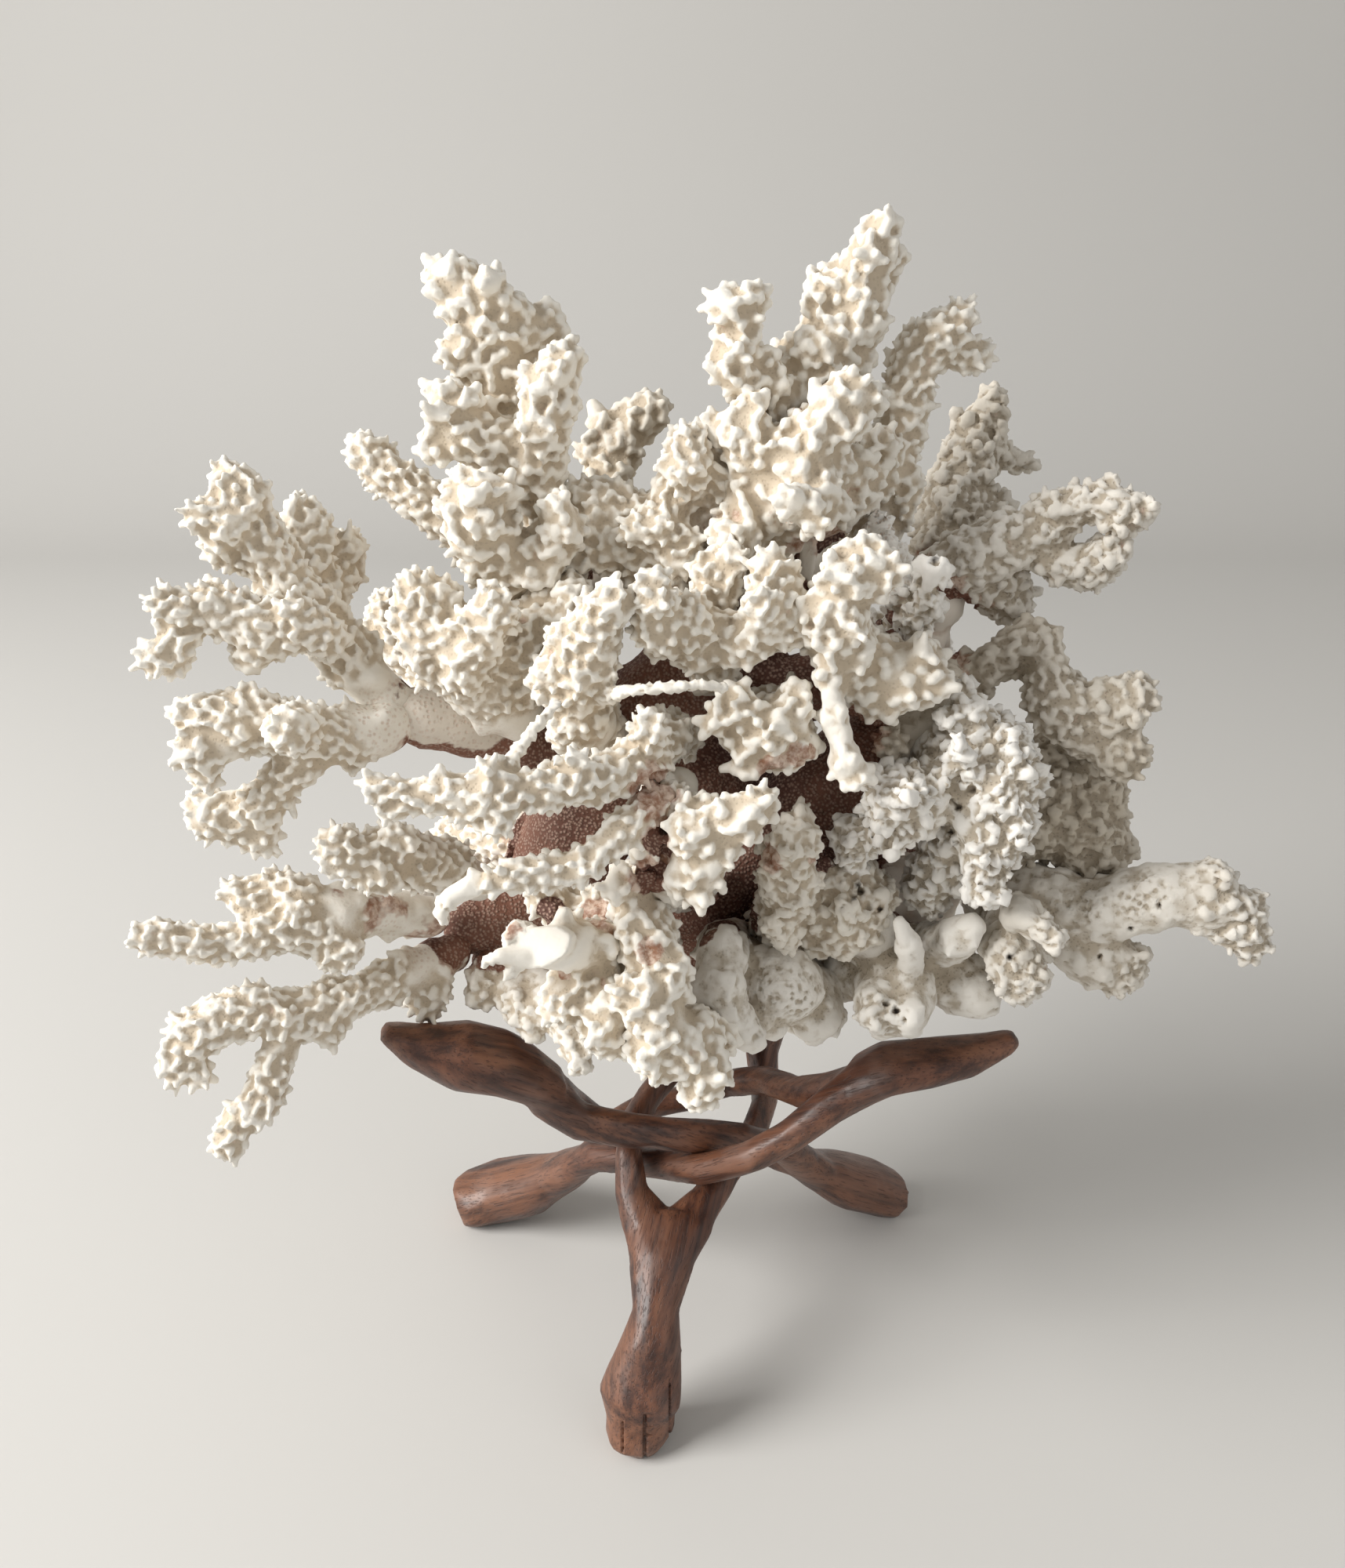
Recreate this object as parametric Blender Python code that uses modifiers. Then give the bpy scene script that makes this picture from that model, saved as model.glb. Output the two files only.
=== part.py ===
"""Branching coral resting on a stand of three interlocked carved wooden pieces.

Metres, +Z up. The origin is on the floor, under the middle of the whole object.
Stations along the branches and the wood are written in millimetres as (across, up, deep, radius):
across and up are read on an upright view of the coral, and deep is the distance behind its middle.
"""
import math
import random

import bmesh
import bpy
from mathutils import Vector
from mathutils.bvhtree import BVHTree

MM = 0.001

# The view that the stations are read on
EYE_DISTANCE = 330.0
EYE_HEIGHT = 320.0
EYE_TILT = math.radians(22.5)
VIEW_MIDDLE = 172.0

# Where the middle of the whole object lies in that view's own coordinates
MIDDLE_ACROSS = 11.4
MIDDLE_DEEP = 7.5

# Coral
CORAL_VOXEL = 2.0
CORAL_TRIANGLES = 5300
TRUNK_SHARE = 0.7
BRANCH_SIDES = 12
KNOB_STEP = 7.0
KNOB_SHARE = 0.5
KNOB_OUT = 0.62
TIP_ROUNDING = 0.7
SHORTEST_TIP = 0.6
FULLNESS = 1.07
GAP = 0.35

# Wood
WOOD_VOXEL = 1.5
WOOD_TRIANGLES = 560
WOOD_SIDES = 14
SOLE_BLOCK = 1000.0

trunk = [
    [(-34, 126, 16, 12), (-27, 152, 14, 15), (-12, 180, 12, 16), (8, 202, 12, 16), (28, 224, 12, 13)],
    [(-20, 126, 16, 12), (8, 146, 14, 16), (38, 168, 12, 16), (60, 190, 10, 12), (64, 203, 12, 8.5),
     (64, 214, 12, 7), (70, 224, 12, 9)],
    [(8, 194, 8, 12), (26, 195, 4, 10), (44, 199, 4, 10), (58, 203, 8, 9)],
    [(-28, 142, 12, 12), (-46, 137, 4, 10), (-56, 134, -4, 8)],
    [(-12, 124, 18, 13), (20, 130, 18, 14), (48, 140, 16, 13), (70, 146, 8, 12)],
    [(-28, 178, 8, 12), (-45, 186, -2, 10), (-62, 189, -12, 9), (-70, 190, -15, 8.5)],
    [(6, 172, 16, 18), (8, 176, 34, 15)],
    [(-34, 182, 12, 11), (-34, 206, 4, 9), (-28, 224, 2, 8)],
]

branches = {
    "left_high": [
        [(-72, 193, -14, 8), (-78, 199, -14, 8.5), (-85, 207, -14, 8.5), (-92, 215, -16, 8.5),
         (-100, 225, -17, 8.5), (-107, 236, -18, 8.5), (-111, 246, -20, 7.5), (-114, 252, -22, 5.5)],
        [(-106, 234, -18, 7), (-116, 239, -24, 7), (-124, 241, -28, 5.5)],
        [(-104, 230, -18, 6), (-120, 232, -22, 6)],
        [(-95, 222, -12, 7), (-94, 229, -5, 7), (-92, 237, 0, 7), (-96, 245, 2, 5.5)],
        [(-90, 214, -10, 7), (-87, 224, 2, 6.5), (-83, 232, 8, 6), (-79, 235, 10, 4.5)],
    ],
    "left_outer": [
        [(-86, 209, -24, 6), (-93, 212, -27, 8), (-106, 213, -29, 8), (-118, 216, -32, 7),
         (-128, 216, -34, 6), (-134, 220, -36, 5)],
        [(-124, 214, -33, 5), (-127, 206, -36, 6), (-132, 205, -38, 6), (-138, 204, -40, 5)],
        [(-126, 206, -36, 5), (-127, 198, -38, 4)],
        [(-106, 210, -30, 5.5), (-107, 203, -32, 4.5), (-109, 198, -33, 3.5)],
        [(-112, 213, -30, 6), (-114, 221, -33, 5)],
        [(-98, 212, -28, 6.5), (-97, 219, -34, 5)],
    ],
    "left_middle": [
        [(-72, 187, -18, 8), (-82, 184, -26, 7.5), (-92, 186, -32, 7.5), (-104, 187, -36, 8.5),
         (-112, 187, -38, 9.5), (-121, 188, -40, 8)],
        [(-120, 189, -40, 7), (-126, 193, -42, 5.5)],
        [(-114, 183, -40, 8), (-121, 179, -42, 7), (-123, 176, -44, 5.5)],
        [(-92, 186, -34, 6), (-97, 186, -44, 7.5), (-100, 186, -50, 7)],
        [(-106, 190, -36, 6), (-109, 195, -38, 5.5)],
        [(-86, 182, -28, 6.5), (-95, 178, -32, 6.5), (-102, 171, -34, 6.5), (-109, 163, -34, 6.5),
         (-118, 163, -36, 7), (-123, 165, -38, 6)],
        [(-107, 161, -34, 6), (-103, 155, -34, 6)],
    ],
    "left_low": [
        [(-62, 138, -12, 7.5), (-74, 139, -20, 6.5), (-86, 138, -28, 6), (-102, 134, -38, 6),
         (-114, 131, -42, 6), (-126, 132, -46, 5.5), (-134, 133, -48, 5.5), (-139, 134, -50, 4.5)],
        [(-84, 139, -28, 6), (-96, 142, -30, 6.5), (-106, 143, -31, 6), (-115, 145, -33, 5)],
        [(-84, 135, -30, 6), (-87, 126, -36, 6)],
    ],
    "left_inner": [
        [(-50, 147, -10, 7), (-64, 153, -23, 7.5), (-76, 154, -32, 7), (-84, 153, -38, 6),
         (-90, 151, -42, 5)],
        [(-80, 155, -34, 6), (-88, 160, -40, 4.5)],
        [(-72, 150, -32, 6), (-80, 146, -40, 4.5)],
        [(-70, 154, -30, 6), (-72, 161, -34, 5)],
    ],
    "left_bottom": [
        [(-56, 129, -8, 7), (-66, 125, -18, 6), (-74, 121, -26, 6), (-84, 117, -34, 6.5),
         (-96, 112, -42, 7), (-108, 114, -46, 7), (-118, 111, -50, 7.5), (-124, 105, -54, 7),
         (-126, 99, -56, 5.5), (-126, 95, -58, 4.5)],
        [(-118, 111, -50, 6), (-129, 109, -52, 5)],
        [(-98, 110, -42, 6.5), (-102, 102, -48, 6), (-103, 94, -52, 6), (-109, 87, -58, 6),
         (-116, 78, -62, 5.5)],
        [(-86, 114, -36, 5.5), (-88, 104, -42, 4)],
        [(-60, 125, -13, 6), (-62, 117, -18, 5.5), (-63, 112, -20, 5)],
        [(-104, 114, -44, 6), (-106, 120, -46, 5)],
    ],
    "front_long": [
        [(2, 184, -16, 7), (-3, 184, -34, 7), (-8, 179, -46, 7), (-20, 172, -56, 6.5), (-36, 171, -64, 6),
         (-52, 170, -66, 6), (-66, 168, -66, 6), (-74, 171, -66, 5), (-80, 174, -66, 4)],
        [(-6, 182, -46, 6), (-6, 190, -52, 5)],
        [(-68, 167, -66, 5.5), (-77, 165, -68, 5)],
        [(-52, 168, -66, 5.5), (-54, 161, -68, 5)],
        [(-44, 168, -66, 5.5), (-44, 158, -68, 5)],
        [(-58, 172, -66, 5), (-60, 177, -66, 4.5)],
        [(-46, 171, -66, 5.5), (-47, 179, -66, 4.5)],
        [(-24, 174, -60, 6), (-26, 182, -60, 5)],
        [(-43, 175, -62, 3.5), (-37, 184, -58, 2.2), (-29, 193, -52, 2.2)],
    ],
    "front_low_long": [
        [(4, 166, -18, 7), (-2, 168, -38, 6.5), (-4, 167, -50, 6), (-12, 160, -58, 5.5),
         (-20, 154, -62, 5.5), (-32, 149, -66, 5.5), (-44, 148, -69, 5), (-52, 146, -70, 4.5),
         (-56, 141, -72, 3.5), (-59, 138, -72, 2.5)],
        [(-26, 152, -64, 5), (-22, 146, -68, 4)],
    ],
    "top_left": [
        [(-28, 226, 2, 9), (-36, 244, 0, 9.5), (-42, 258, -1, 9.5), (-44, 272, -2, 9.5),
         (-44, 284, -4, 9.5), (-47, 294, -6, 8.5), (-54, 301, -8, 6.5), (-60, 306, -10, 5.5)],
        [(-46, 294, -6, 6), (-44, 302, -8, 5)],
        [(-46, 282, -4, 7), (-56, 286, -10, 7)],
        [(-40, 284, -2, 7.5), (-34, 287, 2, 7), (-31, 293, 2, 5.5)],
        [(-38, 250, -3, 7), (-48, 258, -12, 8), (-56, 263, -16, 8), (-57, 272, -18, 6.5)],
        [(-34, 244, -6, 7), (-34, 260, -14, 7.5), (-31, 268, -15, 8), (-32, 275, -17, 7.5),
         (-26, 282, -19, 6.5)],
    ],
    "top_left_front": [
        [(-38, 216, -6, 9), (-42, 226, -14, 9), (-47, 236, -22, 9), (-50, 241, -26, 8.5),
         (-46, 251, -29, 7)],
        [(-50, 240, -26, 7), (-59, 242, -30, 5.5)],
        [(-34, 230, -16, 7), (-29, 236, -22, 7), (-30, 246, -27, 6)],
        [(-34, 228, -16, 7), (-36, 225, -26, 6)],
    ],
    "top_left_outer": [
        [(-42, 222, 6, 7), (-52, 234, 9, 6), (-66, 246, 12, 6.5), (-75, 252, 14, 6.5),
         (-80, 261, 14, 5.5)],
        [(-60, 241, 11, 5), (-62, 249, 16, 4)],
    ],
    "top_back": [
        [(-10, 226, 18, 8), (-14, 240, 28, 7), (-17, 254, 35, 5.5), (-18, 264, 38, 4.5),
         (-21, 270, 40, 2.5)],
        [(-15, 254, 35, 5.5), (-9, 264, 38, 6.5), (-5, 271, 40, 4)],
    ],
    "top_middle": [
        [(4, 218, -2, 9), (-2, 230, -9, 9), (-10, 241, -8, 7.5), (-20, 245, -6, 6.5),
         (-28, 246, -6, 6)],
        [(-4, 236, -10, 7.5), (2, 246, -10, 7.5), (4, 256, -18, 8), (2, 262, -20, 6)],
        [(-2, 234, -10, 8), (-4, 237, -20, 7), (-11, 235, -24, 4.5)],
        [(2, 232, -12, 7.5), (1, 229, -24, 6.5)],
        [(-4, 228, -6, 9), (-16, 234, -10, 9), (-26, 236, -12, 7.5)],
        [(6, 238, -8, 8), (12, 250, -10, 7), (8, 261, -14, 5)],
    ],
    "left_cluster": [
        [(-40, 190, -12, 9), (-52, 200, -21, 9.5), (-60, 210, -25, 9.5), (-64, 218, -25, 9),
         (-62, 226, -23, 7.5)],
        [(-62, 214, -24, 7), (-71, 217, -23, 5.5)],
        [(-62, 208, -26, 7), (-68, 206, -33, 6.5)],
        [(-56, 205, -26, 7.5), (-48, 212, -32, 8), (-43, 219, -36, 6.5)],
        [(-62, 222, -18, 5), (-69, 222, -12, 3.5)],
        [(-52, 200, -24, 8), (-54, 204, -36, 6.5)],
        [(-42, 194, -12, 9.5), (-38, 206, -18, 11), (-35, 217, -20, 10)],
        [(-32, 212, -18, 8), (-27, 221, -20, 7), (-27, 212, -30, 5)],
    ],
    "front_column": [
        [(-18, 184, -10, 10), (-23, 190, -28, 10), (-24, 200, -36, 9.5), (-20, 211, -42, 8),
         (-16, 219, -46, 6), (-14, 224, -48, 4)],
        [(-26, 198, -36, 8), (-35, 200, -42, 6.5)],
        [(-24, 204, -38, 7.5), (-29, 212, -40, 6)],
        [(-20, 188, -30, 8), (-29, 187, -38, 6)],
        [(-20, 194, -36, 4), (-12, 195.5, -49, 2.2), (2, 197, -51, 2), (14, 197, -48, 2)],
    ],
    "front_cup": [
        [(10, 200, -10, 8), (9, 206, -28, 7.5), (-3, 212, -38, 7), (-5, 221, -44, 7),
         (-6, 227, -46, 5.5)],
        [(9, 206, -30, 7.5), (20, 210, -36, 7), (24, 219, -40, 6.5), (23, 224, -42, 5)],
        [(2, 210, -34, 8), (6, 219, -38, 8)],
        [(20, 208, -32, 8), (29, 215, -36, 7), (27, 225, -36, 6.5), (22, 232, -36, 5)],
        [(10, 216, -22, 8), (13, 226, -26, 7), (15, 234, -28, 5)],
    ],
    "top_right": [
        [(26, 228, 8, 10), (27, 248, 5, 10), (29, 264, 2, 10), (33, 276, 0, 10.5), (42, 287, -2, 11),
         (47, 297, -4, 10), (51, 307, -6, 6.5), (54, 314, -8, 5.5), (57, 319, -8, 4.5)],
        [(50, 305, -6, 5.5), (57, 309, -4, 4.5)],
        [(42, 294, -4, 7), (35, 302, -6, 5)],
        [(26, 266, -3, 8.5), (20, 275, -10, 8), (16, 282, -12, 7), (18, 292, -14, 5),
         (10, 298, -16, 4.5)],
        [(18, 290, -14, 5), (22, 301, -14, 5)],
    ],
    "top_right_front": [
        [(22, 230, -6, 9), (26, 242, -14, 9), (34, 252, -17, 9), (40, 262, -20, 8.5),
         (46, 271, -22, 7.5), (49, 275, -22, 6)],
        [(30, 250, -16, 8), (30, 260, -24, 7)],
        [(28, 242, -16, 8.5), (36, 245, -24, 8), (31, 239, -31, 5)],
        [(20, 238, -16, 7), (12, 232, -26, 6)],
        [(22, 238, -12, 8), (16, 247, -20, 8)],
        [(26, 244, -14, 8), (20, 257, -18, 8), (15, 268, -16, 7)],
        [(32, 236, -8, 8), (42, 246, -8, 9), (46, 256, -10, 7)],
    ],
    "right_top": [
        [(52, 228, 10, 8), (52, 240, 9, 8), (53, 250, 8, 8), (59, 262, 6, 7), (60, 275, 4, 7),
         (64, 283, 2, 8), (72, 288, 0, 6), (77, 294, -2, 5)],
        [(66, 284, 2, 6), (76, 282, 4, 5.5), (82, 281, 4, 5)],
        [(64, 285, 2, 5), (68, 291, 5, 4.5)],
        [(62, 282, 4, 5), (61, 290, 8, 5)],
        [(52, 244, 4, 7), (51, 257, -4, 6.5), (57, 262, -5, 5)],
        [(56, 236, 6, 5), (60, 246, 0, 4.5), (63, 252, -2, 3.5)],
    ],
    "right_back": [
        [(66, 224, 24, 9), (69, 234, 28, 9), (72, 244, 31, 9.5), (75, 254, 33, 8), (80, 266, 34, 5),
         (83, 274, 34, 3.5)],
        [(78, 256, 33, 5), (84, 256, 35, 4), (92, 253, 36, 3)],
        [(72, 240, 30, 9), (82, 240, 30, 7), (86, 232, 28, 6)],
    ],
    "right_high": [
        [(69, 226, 10, 8.5), (76, 229.5, 8, 10), (84, 234, 7, 9), (92, 236, 6, 7.5), (100, 241, 2, 5.5),
         (110, 244, -2, 6), (116, 241, -4, 7), (121, 238, -6, 4.5)],
        [(116, 242, -4, 5), (120, 244, -4, 4)],
        [(92, 234, 6, 7), (98, 230, 4, 6), (108, 227, 0, 6.5), (114, 234, -4, 6)],
        [(104, 227, 2, 4), (102, 222, 2, 4)],
        [(76, 226, 10, 9), (84, 222, 12, 8), (88, 215, 12, 6)],
    ],
    "right_cluster": [
        [(56, 196, -6, 10), (49, 203, -22, 10), (42, 208, -32, 9.5), (41, 216, -37, 9),
         (44, 223, -40, 8.5), (49, 231, -42, 5.5)],
        [(50, 200, -28, 9.5), (60, 200, -30, 9), (67, 205, -30, 7)],
        [(42, 204, -34, 6), (41.5, 193, -41, 3.6), (43, 182, -44, 3.7), (45, 176, -46, 4.2),
         (50, 171, -47, 4)],
        [(42, 208, -34, 7), (37, 212, -42, 5.5)],
    ],
    "ring_stem": [
        [(62, 214, -4, 6), (59, 221, -12, 4.8), (54, 232, -14, 4), (51, 240, -12, 4)],
        [(62, 215, -6, 5), (64, 216, -18, 4.2), (65, 222, -25, 4), (67, 229, -28, 6)],
    ],
    "right_middle": [
        [(64, 196, 4, 9), (77, 199.5, 2, 6), (86, 205.5, 0, 6), (92, 210, 0, 6), (95, 203, -4, 6.5),
         (97, 195, -7, 8.5), (102, 188, -10, 9.5)],
        [(104, 188, -10, 8), (112, 190, -13, 7.5), (118, 195, -15, 6.5), (122, 196, -15, 5)],
        [(110, 192, -12, 5.5), (111, 198, -14, 4.5)],
        [(104, 186, -10, 8), (114, 180, -14, 7), (120, 180, -16, 5.5)],
        [(69, 197, 0, 8.5), (67, 192, -12, 9), (66, 184, -16, 8)],
        [(62, 190, -6, 6), (56, 183, -22, 4.5), (55, 181, -28, 4.5)],
    ],
    "right_front": [
        [(64, 178, -4, 12), (72, 180, -22, 11), (83, 179, -30, 11), (82, 164, -34, 12),
         (79, 150, -36, 9.5)],
        [(76, 186, -26, 8), (76, 193, -34, 5)],
        [(88, 178, -30, 6), (91, 184, -34, 4)],
        [(72, 170, -24, 10), (60, 169, -36, 8.5), (53, 168, -44, 7)],
        [(62, 166, -34, 7), (50, 158, -31, 6), (42, 154, -28, 5)],
        [(76, 160, -22, 10), (69, 152, -20, 8), (64, 142, -16, 7.5)],
        [(79, 150, -36, 7), (76, 141, -40, 3)],
        [(75, 176, -34, 5), (73, 180, -40, 3), (73, 185, -42, 2.6)],
    ],
    "right_side": [
        [(74, 162, 4, 12), (86, 163, 2, 13), (98, 164, -2, 12), (108, 159, -6, 9), (117, 155, -8, 6)],
        [(92, 168, 0, 11), (98, 177, 2, 10), (106, 180, 4, 7)],
        [(98, 166, -2, 10), (108, 169, -4, 8), (115, 169, -4, 6)],
        [(104, 156, -4, 8), (112, 149, -10, 6)],
    ],
    "right_low": [
        [(84, 142, -4, 11), (96, 141, -12, 11), (106, 139, -18, 10), (118, 142, -22, 9.5),
         (128, 144, -24, 9.5), (138, 142, -26, 9.5), (146, 136, -28, 7), (148, 128, -29, 5)],
        [(134, 146, -26, 8), (141, 150, -26, 6)],
        [(98, 136, -14, 9.5), (109, 128, -20, 9.5), (119, 124, -22, 7.5)],
        [(86, 136, -16, 8), (86.5, 128, -32, 8), (91, 118.5, -34, 7.5)],
        [(90, 139, -22, 6), (88, 138.5, -36, 5), (94, 135, -40, 4), (100, 131, -42, 3.5)],
    ],
    "front_middle": [
        [(22, 188, -8, 9), (26, 187, -28, 10), (25, 185, -38, 11), (21, 181, -46, 8)],
        [(28, 187, -38, 8), (32, 190, -44, 6)],
        [(20, 187, -40, 7.5), (16, 191, -46, 6)],
        [(27, 182, -40, 8), (31, 177, -44, 6.5)],
        [(20, 180, -42, 6), (20, 174, -46, 4.5)],
    ],
    "front_post": [
        [(28, 132, -2, 9), (29, 140, -24, 9), (30, 150, -36, 8), (31, 158, -42, 7.5),
         (31, 162, -45, 6)],
        [(27, 140, -28, 7), (27, 133, -40, 5)],
        [(29, 148, -36, 6), (24, 149, -42, 4.5)],
        [(36, 150, -20, 9), (45, 147, -22, 9), (54, 141, -20, 8)],
        [(36, 136, -20, 10), (46, 138, -26, 10), (50, 142, -28, 8)],
        [(30, 144, -34, 5), (36, 142, -42, 3.5)],
    ],
    "front_crown": [
        [(2, 146, -8, 9), (4, 149, -36, 8), (6, 156, -50, 9.5), (11, 161, -56, 8)],
        [(8, 160, -54, 7), (14, 167, -58, 6.5)],
        [(12, 160, -55, 7), (21, 166, -57, 6.5), (24, 167, -57, 5)],
        [(4, 157, -54, 7), (0, 162, -58, 5)],
        [(8, 152, -54, 8), (11, 147, -59, 6)],
        [(12, 156, -56, 6), (17, 153, -58, 4.5)],
        [(2, 150, -52, 6), (2, 145, -57, 4.5)],
        [(2, 172, -34, 7), (-4, 166, -44, 6.5), (-8, 157, -47, 4), (-6, 148, -48, 4),
         (-1, 143, -46, 5)],
    ],
    "stub": [
        [(-6, 130, -4, 9), (-8, 131, -26, 9), (-15, 130, -44, 8), (-24, 130.5, -53, 7.5),
         (-33, 130.5, -61, 7)],
        [(-34, 132, -60, 4.5), (-41, 134.5, -63, 3.2)],
        [(-20, 126, -48, 7), (-29, 117, -58, 7), (-32, 112, -61, 5.5)],
        [(-26, 118, -56, 5), (-25, 113, -62, 4.5)],
        [(-12, 124, -46, 8), (-16, 115, -57, 8.5), (-16, 108, -60, 6), (-14, 103, -62, 4)],
        [(-36, 128, -61, 4), (-44, 128, -64, 3), (-49, 125.5, -66, 1.6)],
        [(-38, 127, -62, 3), (-43, 122.5, -65, 2)],
        [(-10, 136, -20, 8), (-18, 141, -30, 7), (-22, 143, -36, 5)],
        [(-20, 138, -26, 7), (-32, 141, -34, 5.5), (-37, 141, -36, 4)],
    ],
    "low_left": [
        [(-44, 130, 2, 7), (-48, 122, -12, 5.5), (-49, 116, -18, 4.5)],
        [(-42, 128, 0, 7), (-39, 117, -18, 6), (-35, 107, -26, 4)],
        [(-40, 124, -6, 6), (-30, 116, -22, 6), (-25.5, 108, -28, 5), (-24, 99, -34, 4)],
    ],
    "low_front": [
        [(-4, 148, -8, 8), (-8, 146, -30, 7), (-8, 139, -46, 8), (-5, 131, -55, 6.5), (-2, 125, -59, 7.5),
         (-4, 117, -61, 8), (-4, 108, -63, 8), (-5, 99, -64, 7)],
        [(-8, 144, -46, 6), (-15, 146, -54, 5), (-19, 144, -57, 3.5)],
        [(-7, 137, -50, 6), (-13, 136, -56, 5)],
        [(-2, 112, -62, 7), (5, 103, -62, 7), (9, 98, -63, 7), (9, 91, -64, 5.5)],
        [(8, 99, -62, 6), (14, 96, -63, 4.5)],
        [(-4, 106, -62, 7), (-10, 102.5, -65, 4.5)],
        [(-4, 119, -60, 7), (-11, 119, -64, 5.5), (-15, 120, -65, 4)],
        [(0, 110, -58, 8), (9, 108, -52, 6.5), (14.5, 104, -50, 4.5)],
        [(-1, 124, -60, 5), (4, 126, -60, 3.5)],
    ],
    "low_middle": [
        [(14, 130, -4, 9), (13, 129, -30, 7.5), (12, 122, -44, 7.5), (13, 117, -45, 6.5), (17, 111, -46, 6),
         (22, 106, -46, 5)],
        [(13, 130, -30, 7), (12, 131, -40, 6.5)],
        [(10, 120, -44, 6), (7, 116.5, -46, 4)],
        [(20, 124, -12, 10), (28, 121, -30, 12), (26, 118, -37, 10.5)],
        [(34, 118, -20, 11), (38, 112, -28, 6.5), (33, 107, -32, 4)],
        [(34, 117, -20, 9), (43, 110, -26, 4)],
        [(22, 112, -38, 6), (28, 109, -36, 4.5)],
    ],
    "low_right": [
        [(52, 132, 0, 11), (56, 123, -20, 11.5), (57, 117, -30, 11.5), (58, 111, -36, 9)],
        [(52, 117, -34, 7), (51, 111, -42, 6)],
        [(60, 114, -38, 6), (61, 111, -44, 5.5)],
        [(52, 130, -8, 9), (49, 137, -26, 9)],
        [(62, 128, -8, 10), (75, 121, -20, 9.5), (80, 115.5, -26, 8.5)],
        [(66, 130, -14, 8), (73, 133, -32, 6), (78, 137, -35, 4.5)],
        [(61, 126, -32, 4.5), (60, 132, -37, 4), (57.5, 137.5, -39, 2.4)],
        [(46, 128, -8, 10), (43, 120, -20, 8)],
    ],
    "back_high_left": [
        [(-20, 224, 20, 9), (-34, 238, 36, 8), (-46, 250, 46, 7), (-51, 262, 50, 5.5)],
        [(-36, 240, 38, 6), (-34, 252, 50, 5)],
        [(-44, 248, 44, 6), (-56, 250, 56, 4.5)],
    ],
    "back_high_middle": [
        [(6, 222, 26, 10), (8, 238, 46, 8.5), (4, 252, 58, 7), (8, 262, 64, 5)],
        [(6, 244, 52, 6), (14, 252, 54, 4.5)],
        [(6, 236, 46, 7), (-6, 238, 62, 5.5)],
    ],
    "back_high_right": [
        [(36, 224, 26, 10), (42, 240, 42, 8), (46, 256, 50, 6.5), (44, 268, 52, 5)],
        [(42, 242, 44, 6), (34, 252, 52, 5)],
        [(44, 246, 46, 6), (54, 252, 56, 4.5)],
    ],
    "back_left": [
        [(-34, 192, 20, 10), (-52, 196, 34, 8.5), (-66, 204, 44, 7), (-74, 213, 48, 6),
         (-71, 221, 50, 4.5)],
        [(-56, 198, 38, 7), (-60, 192, 54, 5.5), (-66, 194, 62, 4.5)],
        [(-64, 204, 44, 6), (-58, 216, 52, 5)],
    ],
    "back_left_low": [
        [(-30, 160, 22, 10), (-48, 158, 38, 8), (-60, 152, 50, 7), (-66, 146, 58, 5)],
        [(-50, 158, 40, 6), (-54, 168, 54, 5)],
        [(-44, 156, 38, 7), (-40, 146, 54, 5.5)],
    ],
    "back_middle": [
        [(0, 178, 40, 12), (2, 182, 56, 10), (-6, 190, 72, 8), (-12, 197, 80, 6)],
        [(4, 180, 56, 8), (16, 173, 74, 7.5), (20, 168, 84, 5.5)],
        [(0, 184, 60, 7), (6, 200, 76, 6), (4, 208, 80, 4.5)],
        [(2, 176, 52, 8), (-12, 168, 72, 6.5), (-18, 164, 80, 5)],
    ],
    "back_right": [
        [(52, 198, 24, 11), (61, 203, 42, 9), (62, 214, 54, 7), (64, 223, 60, 5.5)],
        [(62, 202, 40, 7), (56, 208, 58, 6), (52, 214, 66, 4.5)],
        [(64, 202, 46, 7), (74, 197, 58, 5.5)],
    ],
    "back_right_low": [
        [(48, 158, 24, 11), (62, 156, 42, 9), (71, 150, 54, 7.5), (80, 146, 60, 6)],
        [(60, 156, 40, 7), (56, 166, 58, 6), (60, 172, 66, 4.5)],
        [(58, 154, 40, 7), (50, 144, 56, 6)],
    ],
    "back_low": [
        [(6, 138, 24, 12), (4, 130, 42, 9), (-6, 124, 54, 7.5), (-12, 118, 62, 5.5)],
        [(6, 132, 40, 8), (16, 128, 56, 6)],
        [(2, 132, 44, 7), (0, 140, 62, 6)],
    ],
}

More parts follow.
